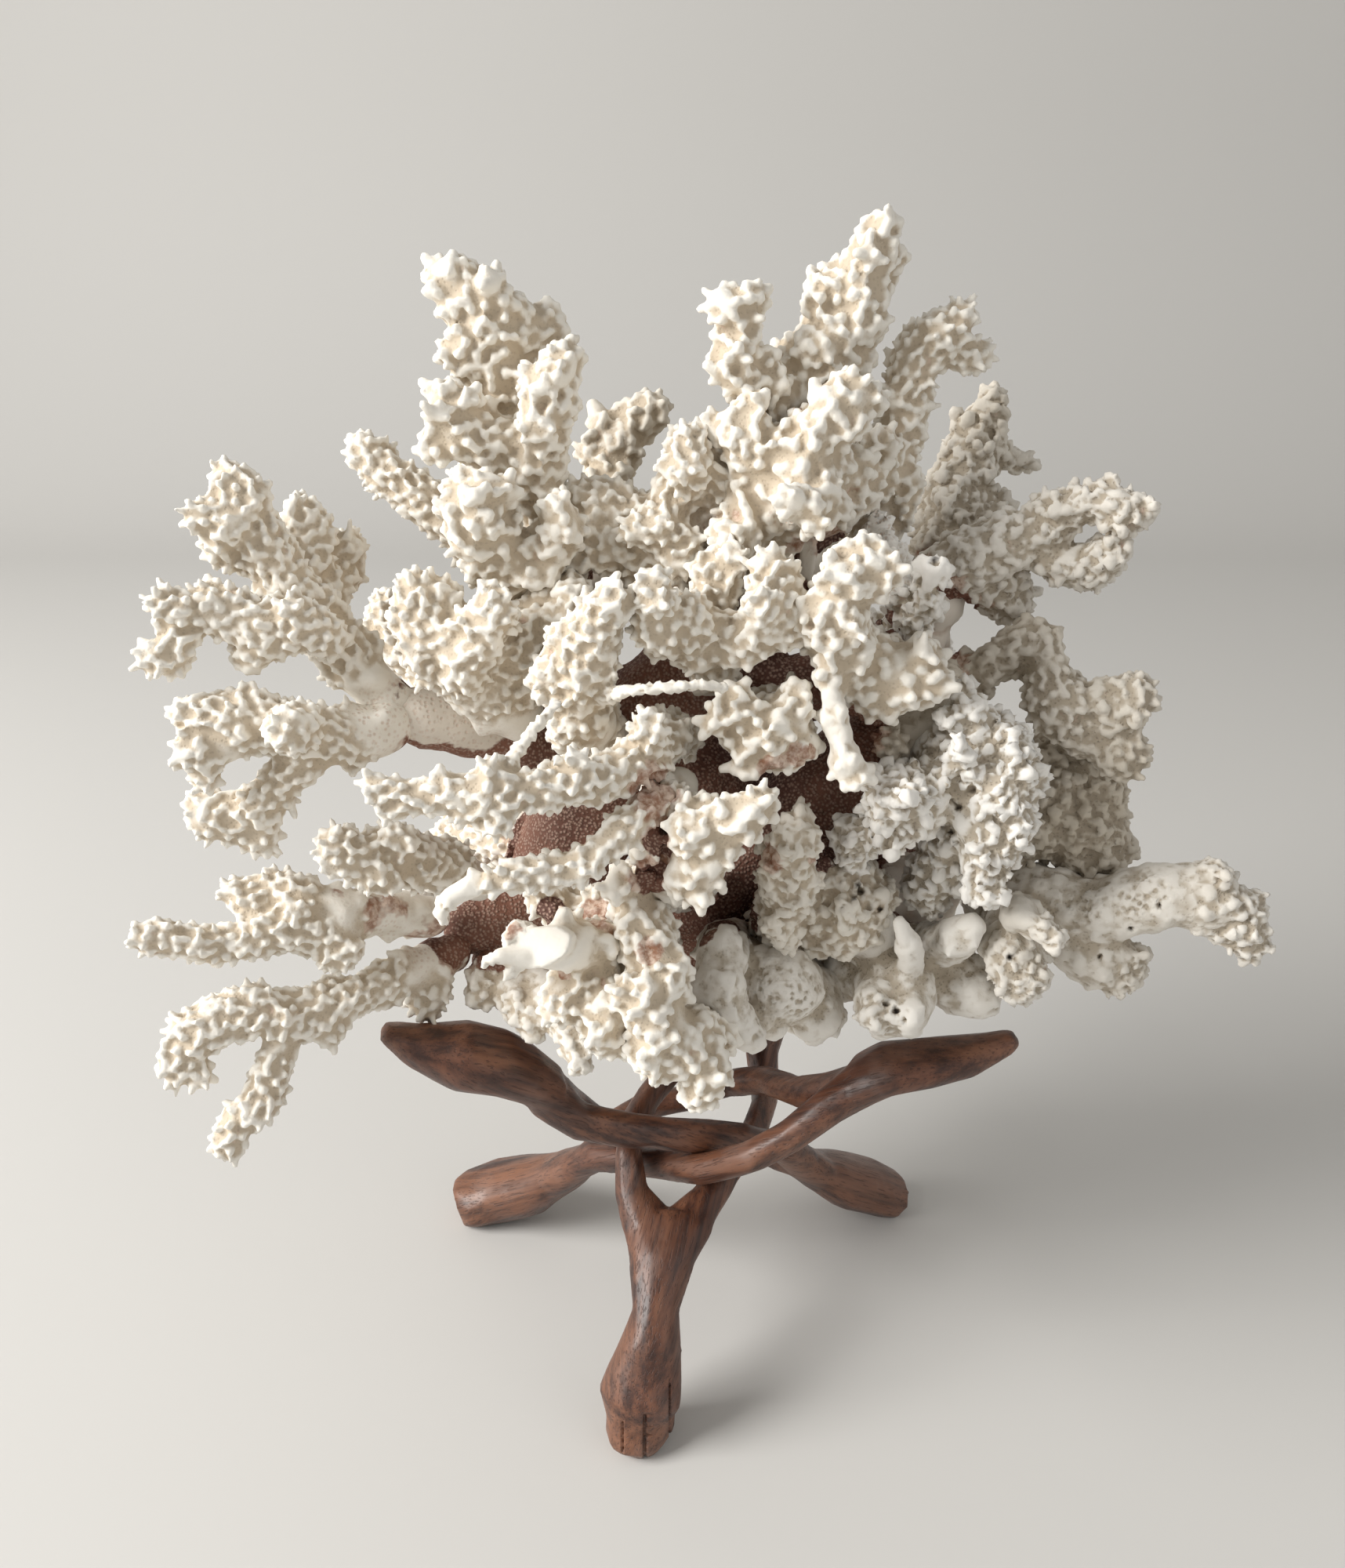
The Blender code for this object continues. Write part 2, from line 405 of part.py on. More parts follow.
# Wood strands of (across, up, deep, half width, half height): a foot, the two sides of an eye, and an arm
stand = {
    "stand_leg_front": [
        [(-7.6, -12, -53, 8.4, 8), (-7.6, 0, -54.5, 9.2, 8.2), (-8, 8, -55, 10.7, 9),
         (-8.4, 16, -54, 11.8, 8.5), (-5.6, 29, -48, 8.8, 7.4), (-4.4, 38, -42.5, 6.4, 6.2),
         (-2.8, 51, -32, 9.2, 6), (-1.6, 58.5, -24, 13, 5.5), (-1.4, 61, -21, 13.6, 5)],
        [(-5, 58, -24, 7, 5), (-10.6, 68, -15.5, 4.8, 4.6), (-11.4, 77, -9, 3.6, 4.4),
         (-10.7, 84.6, 1, 3.6, 4.2), (-5.6, 93, 14, 3.6, 4), (0, 100, 28, 3.6, 4),
         (7, 105, 39, 3.8, 4.2), (14, 109, 48, 4.4, 4.6), (21, 111, 58, 6, 5.5)],
        [(2, 58, -24, 7, 5), (9, 66, -14, 4.6, 4.6), (13, 72, -6, 3.8, 4.2), (17.6, 77.5, 6, 3.6, 4.2),
         (21, 84, 18, 3.6, 4.2), (23.5, 91, 32, 3.6, 4.2), (23.6, 96, 44, 3.8, 4.4),
         (23, 100.4, 52, 4.2, 4.6)],
        [(23, 99, 49, 4, 4.4), (23, 104, 55, 4.6, 4.8), (23.5, 113, 63, 7.5, 5.5), (23, 122, 72, 9, 5),
         (22, 130, 82, 6.5, 4), (22, 134, 88, 3.5, 3)],
    ],
    "stand_leg_right": [
        [(56, 67.2, 46, 7.5, 6), (50.4, 69.6, 43, 10, 6.6), (42.4, 71.4, 36, 10, 6.8),
         (36.4, 73.8, 28, 7, 5), (32, 76.2, 19, 5.6, 4.8)],
        [(33, 76, 18, 5, 4.6), (28, 79.4, 7, 4, 4.2), (16.6, 81.8, -5, 4, 4.4),
         (2.6, 82.4, -12, 4.2, 4.8), (-12.2, 84, -18, 4.4, 5), (-23.7, 86, -20, 5, 5.4),
         (-33.6, 93, -21, 6.5, 5.8)],
        [(33, 76, 18, 5, 4.6), (25, 78, 24, 3.8, 3.8), (12.8, 80, 27, 3.6, 3.8), (0, 82.4, 25, 3.6, 3.8),
         (-10.2, 83.6, 16, 3.6, 3.8), (-19.4, 86, 4, 3.8, 4), (-26.4, 90.6, -7, 4.8, 4.8),
         (-31.6, 94, -17, 6.5, 5.5)],
        [(-31, 94, -18, 9, 6.2), (-38, 98.5, -20, 11, 7.2), (-44, 101, -22, 12, 8),
         (-53.6, 102.8, -25, 11.5, 9.2), (-60, 104, -26, 9.5, 7.6), (-67.4, 106, -28, 7, 5),
         (-74, 109, -30, 4, 2.4)],
    ],
    "stand_leg_left": [
        [(-54.5, 65, 39, 7, 5.8), (-51, 66.2, 40, 9.5, 6.8), (-44, 68.2, 40.5, 10, 7.8),
         (-35.6, 69.8, 35, 9.5, 8), (-28.6, 72.6, 27, 7, 5.8), (-22, 76.2, 17, 5.6, 4.4),
         (-19, 77.4, 12, 4.8, 4.2)],
        [(-19.6, 77.2, 12, 4.6, 4.2), (-12, 76.5, 4, 4, 4), (-1.6, 75, -5, 4, 4.2),
         (7.7, 73.9, -16, 4, 4.2), (20.1, 76.8, -23, 4.4, 4.4), (30, 82, -24, 4.6, 4.6),
         (40, 90, -22, 5.4, 5), (49, 96, -20, 7, 5.4)],
        [(-19.6, 77.2, 12, 4.6, 4.2), (-16.4, 84.5, 25, 3.8, 3.8), (-6.8, 90, 37, 3.6, 3.6),
         (5.2, 92, 39, 3.6, 3.6), (15.3, 96, 32, 3.6, 3.8), (23.8, 96.4, 18, 3.8, 4),
         (31.4, 93.4, 3, 4, 4.2), (40.2, 94.2, -8, 5, 4.8), (49, 96.2, -18, 7, 5.2)],
        [(48, 96.5, -19, 9, 5.6), (55, 99.5, -20, 10, 5.8), (65, 101, -21, 10, 5.6),
         (76, 103, -22, 7.5, 4.8), (84, 105.5, -23, 5, 3.6), (88, 107.2, -24, 3, 2.4)],
    ],
}

coralColour = (0.80, 0.74, 0.64, 1.0)
erodedColour = (0.66, 0.60, 0.52, 1.0)
trunkColour = (0.42, 0.24, 0.17, 1.0)
woodColour = (0.20, 0.075, 0.035, 1.0)


def clear_scene():
    for obj in list(bpy.data.objects):
        bpy.data.objects.remove(obj, do_unlink=True)


def place(across, up, deep, *sizes):
    """A station of the view as a point in metres, with its sizes, which are read at the view's middle."""
    lift = up - VIEW_MIDDLE
    run = EYE_DISTANCE * math.cos(EYE_TILT) + lift * math.sin(EYE_TILT)
    rise = lift * math.cos(EYE_TILT) - EYE_DISTANCE * math.sin(EYE_TILT)
    reach = (deep + EYE_DISTANCE) / run
    point = Vector((reach * across - MIDDLE_ACROSS, deep - MIDDLE_DEEP, EYE_HEIGHT + reach * rise)) * MM
    return point, [size * reach * math.cos(EYE_TILT) * MM for size in sizes]


def placed(stations):
    """Points and radii of a strand, whose last station is the very tip."""
    points, sizes = zip(*(place(*station) for station in stations))
    radii = [size[0] for size in sizes]
    back = points[-2] - points[-1]
    tip = points[-1] + back.normalized() * min(TIP_ROUNDING * radii[-1], SHORTEST_TIP * back.length)
    return [*points[:-1], tip], [radius * FULLNESS for radius in radii]


def material(name, colour, roughness):
    made = bpy.data.materials.new(name)
    made.use_nodes = True
    shader = made.node_tree.nodes["Principled BSDF"]
    shader.inputs["Base Color"].default_value = colour
    shader.inputs["Roughness"].default_value = roughness
    shader.inputs["Metallic"].default_value = 0.0
    return made


def link(name, mesh, home):
    obj = bpy.data.objects.new(name, mesh)
    home.objects.link(obj)
    return obj


def baked(obj):
    """Put the evaluated mesh in place of the object's own, and drop its modifiers."""
    graph = bpy.context.evaluated_depsgraph_get()
    mesh = bpy.data.meshes.new_from_object(obj.evaluated_get(graph))
    obj.modifiers.clear()
    obj.data = mesh


def add_cone(bm, start, end, startRadius, endRadius):
    along = end - start
    turn = along.to_track_quat("Z", "Y").to_matrix().to_4x4()
    turn.translation = (start + end) / 2
    bmesh.ops.create_cone(bm, cap_ends=True, segments=BRANCH_SIDES, radius1=startRadius,
                          radius2=endRadius, depth=along.length, matrix=turn)


def add_ball(bm, centre, radius):
    made = bmesh.ops.create_icosphere(bm, subdivisions=2, radius=radius)
    bmesh.ops.translate(bm, vec=centre, verts=made["verts"])


def add_strand(bm, stations, chance):
    """A chain of cones with a ball at each station, and knobs in loose turns round it."""
    points, radii = placed(stations)
    for centre, radius in zip(points, radii):
        add_ball(bm, centre, radius)
    for start, end, startRadius, endRadius in zip(points, points[1:], radii, radii[1:]):
        add_cone(bm, start, end, startRadius, endRadius)
        along = end - start
        side = along.orthogonal().normalized()
        other = along.normalized().cross(side)
        for step in range(int(along.length / (KNOB_STEP * MM))):
            share = (step + chance.random()) * KNOB_STEP * MM / along.length
            turn = chance.uniform(0, 2 * math.pi)
            radius = startRadius + share * (endRadius - startRadius)
            out = math.cos(turn) * side + math.sin(turn) * other
            add_ball(bm, start + share * along + KNOB_OUT * radius * out, KNOB_SHARE * radius)


def fused(obj, voxel, triangles):
    """One closed skin over the overlapping shapes, thinned to about this many triangles."""
    remesh = obj.modifiers.new("skin", "REMESH")
    remesh.mode = "VOXEL"
    remesh.voxel_size = voxel * MM
    baked(obj)
    thin = obj.modifiers.new("thin", "DECIMATE")
    thin.ratio = min(1.0, triangles / (2 * len(obj.data.polygons)))
    baked(obj)


def largest_body(obj):
    """Drop the crumbs that a cut leaves beside the main body."""
    bm = bmesh.new()
    bm.from_mesh(obj.data)
    bmesh.ops.triangulate(bm, faces=bm.faces)
    left = set(bm.faces)
    bodies = []
    while left:
        front = [left.pop()]
        body = list(front)
        while front:
            near = [f for edge in front.pop().edges for f in edge.link_faces if f in left]
            for face in near:
                if face in left:
                    left.remove(face)
                    front.append(face)
                    body.append(face)
        bodies.append(body)
    bodies.sort(key=lambda body: sum(face.calc_area() for face in body))
    for body in bodies[:-1]:
        bmesh.ops.delete(bm, geom=body, context="FACES")
    bm.to_mesh(obj.data)
    bm.free()


def grown_copy(obj, cutters):
    """The same shape, larger by the gap, that its neighbours are cut with."""
    copy = link(obj.name + "_clearance", obj.data.copy(), cutters)
    grow = copy.modifiers.new("grow", "DISPLACE")
    grow.strength = GAP * MM
    grow.mid_level = 0.0
    baked(copy)
    copy.hide_render = True
    copy.display_type = "WIRE"
    return copy


def tree_of(obj):
    bm = bmesh.new()
    bm.from_mesh(obj.data)
    made = BVHTree.FromBMesh(bm)
    bm.free()
    return made


def cut_clear(obj, cutter):
    cut = obj.modifiers.new("clear", "BOOLEAN")
    cut.operation = "DIFFERENCE"
    cut.solver = "EXACT"
    cut.use_self = True
    cut.object = cutter
    baked(obj)


def skin_area(stations):
    points, radii = placed(stations)
    return sum((end - start).length * radius for start, end, radius in zip(points, points[1:], radii))


def build_coral(home, cutters, done):
    pieces = {"coral_trunk": trunk} | {"coral_branch_" + name: strands for name, strands in branches.items()}
    sizes = {name: sum(map(skin_area, strands)) for name, strands in pieces.items()}
    sizes["coral_trunk"] *= TRUNK_SHARE
    pale = material("pale coral", coralColour, 0.85)
    eroded = material("eroded coral", erodedColour, 0.95)
    shades = {name: eroded if "right" in name else pale for name in pieces}
    shades["coral_trunk"] = material("granular brown", trunkColour, 0.9)
    for number, (name, strands) in enumerate(pieces.items()):
        chance = random.Random(number)
        bm = bmesh.new()
        for stations in strands:
            add_strand(bm, stations, chance)
        mesh = bpy.data.meshes.new(name)
        bm.to_mesh(mesh)
        bm.free()
        obj = link(name, mesh, home)
        share = sizes[name] / sum(sizes.values())
        fused(obj, CORAL_VOXEL, CORAL_TRIANGLES * share)
        for neighbour, cutter, tree in done:
            if tree_of(obj).overlap(tree):
                cut_clear(obj, cutter)
                cut_clear(obj, neighbour)
                largest_body(obj)
        obj.data.materials.clear()
        obj.data.materials.append(shades[name])
        cutter = grown_copy(obj, cutters)
        done.append((obj, cutter, tree_of(cutter)))


def add_loft(bm, stations):
    """Oval rings along the stations, joined by faces and closed at both ends."""
    points, sizes = zip(*(place(*station) for station in stations))
    rings = []
    for number, (point, (halfWidth, halfHeight)) in enumerate(zip(points, sizes)):
        ahead = points[min(number + 1, len(points) - 1)] - points[max(number - 1, 0)]
        side = ahead.cross(Vector((0, 0, 1))).normalized()
        rise = side.cross(ahead).normalized()
        ring = []
        for corner in range(WOOD_SIDES):
            turn = 2 * math.pi * corner / WOOD_SIDES
            out = math.cos(turn) * halfWidth * side + math.sin(turn) * halfHeight * rise
            ring.append(bm.verts.new(point + out))
        rings.append(ring)
    for ring, following in zip(rings, rings[1:]):
        for corner in range(WOOD_SIDES):
            beside = (corner + 1) % WOOD_SIDES
            bm.faces.new((ring[corner], ring[beside], following[beside], following[corner]))
    bm.faces.new(rings[0][::-1])
    bm.faces.new(rings[-1])


def level_sole(obj, cutters):
    """Cut the foot flat where it meets the floor, with a block whose top is the floor."""
    bm = bmesh.new()
    bmesh.ops.create_cube(bm, size=SOLE_BLOCK * MM)
    mesh = bpy.data.meshes.new(obj.name + "_sole")
    bm.to_mesh(mesh)
    bm.free()
    block = link(obj.name + "_sole", mesh, cutters)
    block.location.z = -SOLE_BLOCK * MM / 2
    block.hide_render = True
    block.display_type = "WIRE"
    bpy.context.view_layer.update()
    cut_clear(obj, block)


def build_stand(home, cutters):
    wood = material("carved wood", woodColour, 0.4)
    done = []
    for name, strands in stand.items():
        bm = bmesh.new()
        for stations in strands:
            add_loft(bm, stations)
        bmesh.ops.recalc_face_normals(bm, faces=bm.faces)
        mesh = bpy.data.meshes.new(name)
        bm.to_mesh(mesh)
        bm.free()
        obj = link(name, mesh, home)
        fused(obj, WOOD_VOXEL, WOOD_TRIANGLES)
        level_sole(obj, cutters)
        largest_body(obj)
        obj.data.materials.clear()
        obj.data.materials.append(wood)
        cutter = grown_copy(obj, cutters)
        done.append((obj, cutter, tree_of(cutter)))
    return done


def main():
    clear_scene()
    home = bpy.data.collections.new("branching coral on stand")
    cutters = bpy.data.collections.new("cutters")
    for collection in (home, cutters):
        bpy.context.scene.collection.children.link(collection)
    done = build_stand(home, cutters)
    build_coral(home, cutters, done)


main()
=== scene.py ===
import bmesh
import bpy
import math
import numpy as np
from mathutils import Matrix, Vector, noise


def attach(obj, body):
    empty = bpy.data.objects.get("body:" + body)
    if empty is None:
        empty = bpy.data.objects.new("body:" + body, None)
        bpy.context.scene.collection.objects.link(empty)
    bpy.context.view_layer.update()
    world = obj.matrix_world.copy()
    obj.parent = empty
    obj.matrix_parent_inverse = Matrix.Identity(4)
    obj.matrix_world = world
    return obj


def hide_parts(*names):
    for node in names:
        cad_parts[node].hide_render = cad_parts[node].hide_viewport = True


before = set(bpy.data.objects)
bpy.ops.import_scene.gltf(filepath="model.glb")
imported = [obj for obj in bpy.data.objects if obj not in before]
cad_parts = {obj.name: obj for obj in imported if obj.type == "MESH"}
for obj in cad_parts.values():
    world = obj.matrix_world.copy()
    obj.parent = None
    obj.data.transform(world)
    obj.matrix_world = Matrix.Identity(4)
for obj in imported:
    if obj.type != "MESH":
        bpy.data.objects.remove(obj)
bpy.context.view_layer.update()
mm = 0.001

# Stations below are (across, up, deep, radius) in millimetres: across and up as an upright view shows them,
# deep behind the middle of that view. Branches run from the root to the tip.
view = {"distance": 330.0, "height": 320.0, "tilt": math.radians(22.5), "middle": 172.0, "across": 11.4,
        "deep": 7.5}


def place(across, up, deep, *sizes):
    lift = up - view["middle"]
    level = view["distance"] * math.cos(view["tilt"]) + lift * math.sin(view["tilt"])
    rise = lift * math.cos(view["tilt"]) - view["distance"] * math.sin(view["tilt"])
    reach = (deep + view["distance"]) / level
    point = Vector((reach * across - view["across"], deep - view["deep"], view["height"] + reach * rise)) * mm
    return point, [size * reach * math.cos(view["tilt"]) * mm for size in sizes]


# A piece's aged share tints it grey-beige: partly a weathered tone, partly painted shade on the pieces that
# sit in shade at the right and back
corals = {
    "trunk": {"coat": "granular", "slot": "granular_brown",
        "bareRoot": 0.0, "weatherAndShade": 0.0, "brown": 0.9, "strands": [
        [(-34, 126, 16, 12), (-27, 152, 14, 15), (-12, 180, 12, 16), (8, 202, 12, 16), (28, 224, 12, 13)],
        [(-20, 126, 16, 12), (8, 146, 14, 16), (38, 168, 12, 16), (60, 190, 10, 12), (64, 203, 12, 8.5),
         (64, 214, 12, 7), (70, 224, 12, 9)],
        [(8, 194, 8, 12), (26, 195, 4, 10), (44, 199, 4, 10), (58, 203, 8, 9)],
        [(-28, 142, 12, 12), (-46, 137, 4, 10), (-56, 134, -4, 8)],
        [(-12, 124, 18, 13), (20, 130, 18, 14), (48, 140, 16, 13), (70, 146, 8, 12)],
        [(-28, 178, 8, 12), (-45, 186, -2, 10), (-62, 189, -12, 9), (-70, 190, -15, 8.5)],
        [(6, 172, 16, 18), (8, 176, 34, 15)],
        [(-34, 182, 12, 11), (-34, 206, 4, 9), (-28, 224, 2, 8)],
    ]},
    "left_high": {"slot": "pale_coral", "coat": "pegged", "bareRoot": 0.1, "weatherAndShade": 0.0, "strands": [
        [(-72, 193, -14, 8), (-78, 199, -14, 8.5), (-85, 207, -14, 8.5), (-92, 215, -16, 8.5),
         (-100, 225, -17, 8.5), (-107, 236, -18, 8.5), (-111, 246, -20, 7.5), (-114, 252, -22, 5.5)],
        [(-106, 234, -18, 7), (-116, 239, -24, 7), (-124, 241, -28, 5.5)],
        [(-104, 230, -18, 6), (-120, 232, -22, 6)],
        [(-95, 222, -12, 7), (-94, 229, -5, 7), (-92, 237, 0, 7), (-96, 245, 2, 5.5)],
        [(-90, 214, -10, 7), (-87, 224, 2, 6.5), (-83, 232, 8, 6), (-79, 235, 10, 4.5)],
    ]},
    "left_outer": {"slot": "pale_coral", "coat": "pegged", "bareRoot": 0.0, "weatherAndShade": 0.0, "strands": [
        [(-86, 209, -24, 6), (-93, 212, -27, 8), (-106, 213, -29, 8), (-118, 216, -32, 7),
         (-128, 216, -34, 6), (-134, 220, -36, 5)],
        [(-124, 214, -33, 5), (-127, 206, -36, 6), (-132, 205, -38, 6), (-138, 204, -40, 5)],
        [(-126, 206, -36, 5), (-127, 198, -38, 4)],
        [(-106, 210, -30, 5.5), (-107, 203, -32, 4.5), (-109, 198, -33, 3.5)],
        [(-112, 213, -30, 6), (-114, 221, -33, 5)],
        [(-98, 212, -28, 6.5), (-97, 219, -34, 5)],
    ]},
    "left_middle": {"slot": "pale_coral", "coat": "pegged", "bareRoot": 0.1, "weatherAndShade": 0.0, "strands": [
        [(-72, 187, -18, 8), (-82, 184, -26, 7.5), (-92, 186, -32, 7.5), (-104, 187, -36, 8.5),
         (-112, 187, -38, 9.5), (-121, 188, -40, 8)],
        [(-120, 189, -40, 7), (-126, 193, -42, 5.5)],
        [(-114, 183, -40, 8), (-121, 179, -42, 7), (-123, 176, -44, 5.5)],
        [(-92, 186, -34, 6), (-97, 186, -44, 7.5), (-100, 186, -50, 7)],
        [(-106, 190, -36, 6), (-109, 195, -38, 5.5)],
        [(-86, 182, -28, 6.5), (-95, 178, -32, 6.5), (-102, 171, -34, 6.5), (-109, 163, -34, 6.5),
         (-118, 163, -36, 7), (-123, 165, -38, 6)],
        [(-107, 161, -34, 6), (-103, 155, -34, 6)],
    ]},
    "left_low": {"slot": "pale_coral", "coat": "pegged", "bareRoot": 0.2, "weatherAndShade": 0.0, "strands": [
        [(-62, 138, -12, 7.5), (-74, 139, -20, 6.5), (-86, 138, -28, 6), (-102, 134, -38, 6),
         (-114, 131, -42, 6), (-126, 132, -46, 5.5), (-134, 133, -48, 5.5), (-139, 134, -50, 4.5)],
        [(-84, 139, -28, 6), (-96, 142, -30, 6.5), (-106, 143, -31, 6), (-115, 145, -33, 5)],
        [(-84, 135, -30, 6), (-87, 126, -36, 6)],
    ]},
    "left_inner": {"slot": "pale_coral", "coat": "pegged", "bareRoot": 0.1, "weatherAndShade": 0.0, "strands": [
        [(-50, 147, -10, 7), (-64, 153, -23, 7.5), (-76, 154, -32, 7), (-84, 153, -38, 6),
         (-90, 151, -42, 5)],
        [(-80, 155, -34, 6), (-88, 160, -40, 4.5)],
        [(-72, 150, -32, 6), (-80, 146, -40, 4.5)],
        [(-70, 154, -30, 6), (-72, 161, -34, 5)],
    ]},
    "left_bottom": {"slot": "pale_coral", "coat": "pegged", "bareRoot": 0.16, "weatherAndShade": 0.0, "strands": [
        [(-56, 129, -8, 7), (-66, 125, -18, 6), (-74, 121, -26, 6), (-84, 117, -34, 6.5),
         (-96, 112, -42, 7), (-108, 114, -46, 7), (-118, 111, -50, 7.5), (-124, 105, -54, 7),
         (-126, 99, -56, 5.5), (-126, 95, -58, 4.5)],
        [(-118, 111, -50, 6), (-129, 109, -52, 5)],
        [(-98, 110, -42, 6.5), (-102, 102, -48, 6), (-103, 94, -52, 6), (-109, 87, -58, 6),
         (-116, 78, -62, 5.5)],
        [(-86, 114, -36, 5.5), (-88, 104, -42, 4)],
        [(-60, 125, -13, 6), (-62, 117, -18, 5.5), (-63, 112, -20, 5)],
        [(-104, 114, -44, 6), (-106, 120, -46, 5)],
    ]},
    "front_long": {"slot": "pale_coral", "coat": "pegged", "bareRoot": 0.0, "weatherAndShade": 0.0, "strands": [
        [(2, 184, -16, 7), (-3, 184, -34, 7), (-8, 179, -46, 7), (-20, 172, -56, 6.5), (-36, 171, -64, 6),
         (-52, 170, -66, 6), (-66, 168, -66, 6), (-74, 171, -66, 5), (-80, 174, -66, 4)],
        [(-6, 182, -46, 6), (-6, 190, -52, 5)],
        [(-68, 167, -66, 5.5), (-77, 165, -68, 5)],
        [(-52, 168, -66, 5.5), (-54, 161, -68, 5)],
        [(-44, 168, -66, 5.5), (-44, 158, -68, 5)],
        [(-58, 172, -66, 5), (-60, 177, -66, 4.5)],
        [(-46, 171, -66, 5.5), (-47, 179, -66, 4.5)],
        [(-24, 174, -60, 6), (-26, 182, -60, 5)],
        [(-43, 175, -62, 3.2), (-37, 184, -58, 2.1), (-29, 193, -52, 2.0)],
    ]},
    "front_low_long": {"slot": "pale_coral", "coat": "pegged", "bareRoot": 0.2, "weatherAndShade": 0.0, "strands": [
        [(4, 166, -18, 7), (-2, 168, -38, 6.5), (-4, 167, -50, 6), (-12, 160, -58, 5.5),
         (-20, 154, -62, 5.5), (-32, 149, -66, 5.5), (-43, 148, -69, 5), (-51, 146, -70, 4.2),
         (-57, 143, -72, 3.4), (-59, 139.5, -72, 2.8), (-57.5, 136, -72, 2)],
        [(-26, 152, -64, 5), (-22, 146, -68, 4)],
    ]},
    "top_left": {"slot": "pale_coral", "coat": "knobbly", "bareRoot": 0.0, "weatherAndShade": 0.0, "strands": [
        [(-28, 226, 2, 9), (-36, 244, 0, 9.5), (-42, 258, -1, 9.5), (-44, 272, -2, 9.5),
         (-44, 284, -4, 9.5), (-47, 294, -6, 8.5), (-54, 301, -8, 6.5), (-60, 306, -10, 5.5)],
        [(-46, 294, -6, 6), (-44, 302, -8, 5)],
        [(-46, 282, -4, 7), (-56, 286, -10, 7)],
        [(-40, 284, -2, 7.5), (-34, 287, 2, 7), (-31, 293, 2, 5.5)],
        [(-38, 250, -3, 7), (-48, 258, -12, 8), (-56, 263, -16, 8), (-57, 272, -18, 6.5)],
        [(-34, 244, -6, 7), (-34, 260, -14, 7.5), (-31, 268, -15, 8), (-32, 275, -17, 7.5),
         (-26, 282, -19, 6.5)],
    ]},
    "top_left_front": {"slot": "pale_coral", "coat": "knobbly", "bareRoot": 0.0, "weatherAndShade": 0.0, "strands": [
        [(-38, 216, -6, 9), (-42, 226, -14, 9), (-47, 236, -22, 9), (-50, 241, -26, 8.5),
         (-46, 251, -29, 7)],
        [(-50, 240, -26, 7), (-59, 242, -30, 5.5)],
        [(-34, 230, -16, 7), (-29, 236, -22, 7), (-30, 246, -27, 6)],
        [(-34, 228, -16, 7), (-36, 225, -26, 6)],
    ]},
    "top_left_outer": {"slot": "pale_coral", "coat": "pegged", "bareRoot": 0.1, "weatherAndShade": 0.0, "strands": [
        [(-42, 222, 6, 7), (-52, 234, 9, 6), (-66, 246, 12, 6.5), (-75, 252, 14, 6.5),
         (-80, 261, 14, 5.5)],
        [(-60, 241, 11, 5), (-62, 249, 16, 4)],
    ]},
    "top_back": {"slot": "pale_coral", "coat": "knobbly", "bareRoot": 0.0, "weatherAndShade": 0.45, "strands": [
        [(-10, 226, 18, 8), (-14, 240, 28, 7), (-17, 254, 35, 5.5), (-18, 264, 38, 4.5),
         (-21, 270, 40, 2.5)],
        [(-15, 254, 35, 5.5), (-9, 264, 38, 6.5), (-5, 271, 40, 4)],
    ]},
    "top_middle": {"slot": "pale_coral", "coat": "pegged", "bareRoot": 0.1, "weatherAndShade": 0.0, "strands": [
        [(4, 218, -2, 9), (-2, 230, -9, 9), (-10, 241, -8, 7.5), (-20, 245, -6, 6.5),
         (-28, 246, -6, 6)],
        [(-4, 236, -10, 7.5), (2, 246, -10, 7.5), (4, 256, -18, 8), (2, 262, -20, 6)],
        [(-2, 234, -10, 8), (-4, 237, -20, 7), (-11, 235, -24, 4.5)],
        [(2, 232, -12, 7.5), (1, 229, -24, 6.5)],
        [(-4, 228, -6, 9), (-16, 234, -10, 9), (-26, 236, -12, 7.5)],
        [(6, 238, -8, 8), (12, 250, -10, 7), (8, 261, -14, 5)],
    ]},
    "left_cluster": {"slot": "pale_coral", "coat": "pegged", "bareRoot": 0.12, "weatherAndShade": 0.0, "strands": [
        [(-40, 190, -12, 9), (-52, 200, -21, 9.5), (-60, 210, -25, 9.5), (-64, 218, -25, 9),
         (-62, 226, -23, 7.5)],
        [(-62, 214, -24, 7), (-71, 217, -23, 5.5)],
        [(-62, 208, -26, 7), (-68, 206, -33, 6.5)],
        [(-56, 205, -26, 7.5), (-48, 212, -32, 8), (-43, 219, -36, 6.5)],
        [(-62, 222, -18, 5), (-69, 222, -12, 3.5)],
        [(-52, 200, -24, 8), (-54, 204, -36, 6.5)],
        [(-42, 194, -12, 9.5), (-38, 206, -18, 11), (-35, 217, -20, 10)],
        [(-32, 212, -18, 8), (-27, 221, -20, 7), (-27, 212, -30, 5)],
    ]},
    "front_column": {"slot": "pale_coral", "coat": "pegged", "bareRoot": 0.1, "weatherAndShade": 0.0, "strands": [
        [(-18, 184, -10, 10), (-23, 190, -28, 10), (-24, 200, -36, 9.5), (-20, 211, -42, 8),
         (-16, 219, -46, 6), (-14, 224, -48, 4)],
        [(-26, 198, -36, 8), (-35, 200, -42, 6.5)],
        [(-24, 204, -38, 7.5), (-29, 212, -40, 6)],
        [(-20, 188, -30, 8), (-29, 187, -38, 6)],
        [(-20, 194, -36, 4), (-12, 195.5, -49, 2.2), (2, 197, -51, 2), (14, 197, -48, 2)],
    ]},
    "front_cup": {"slot": "pale_coral", "coat": "pegged", "bareRoot": 0.1, "weatherAndShade": 0.0, "strands": [
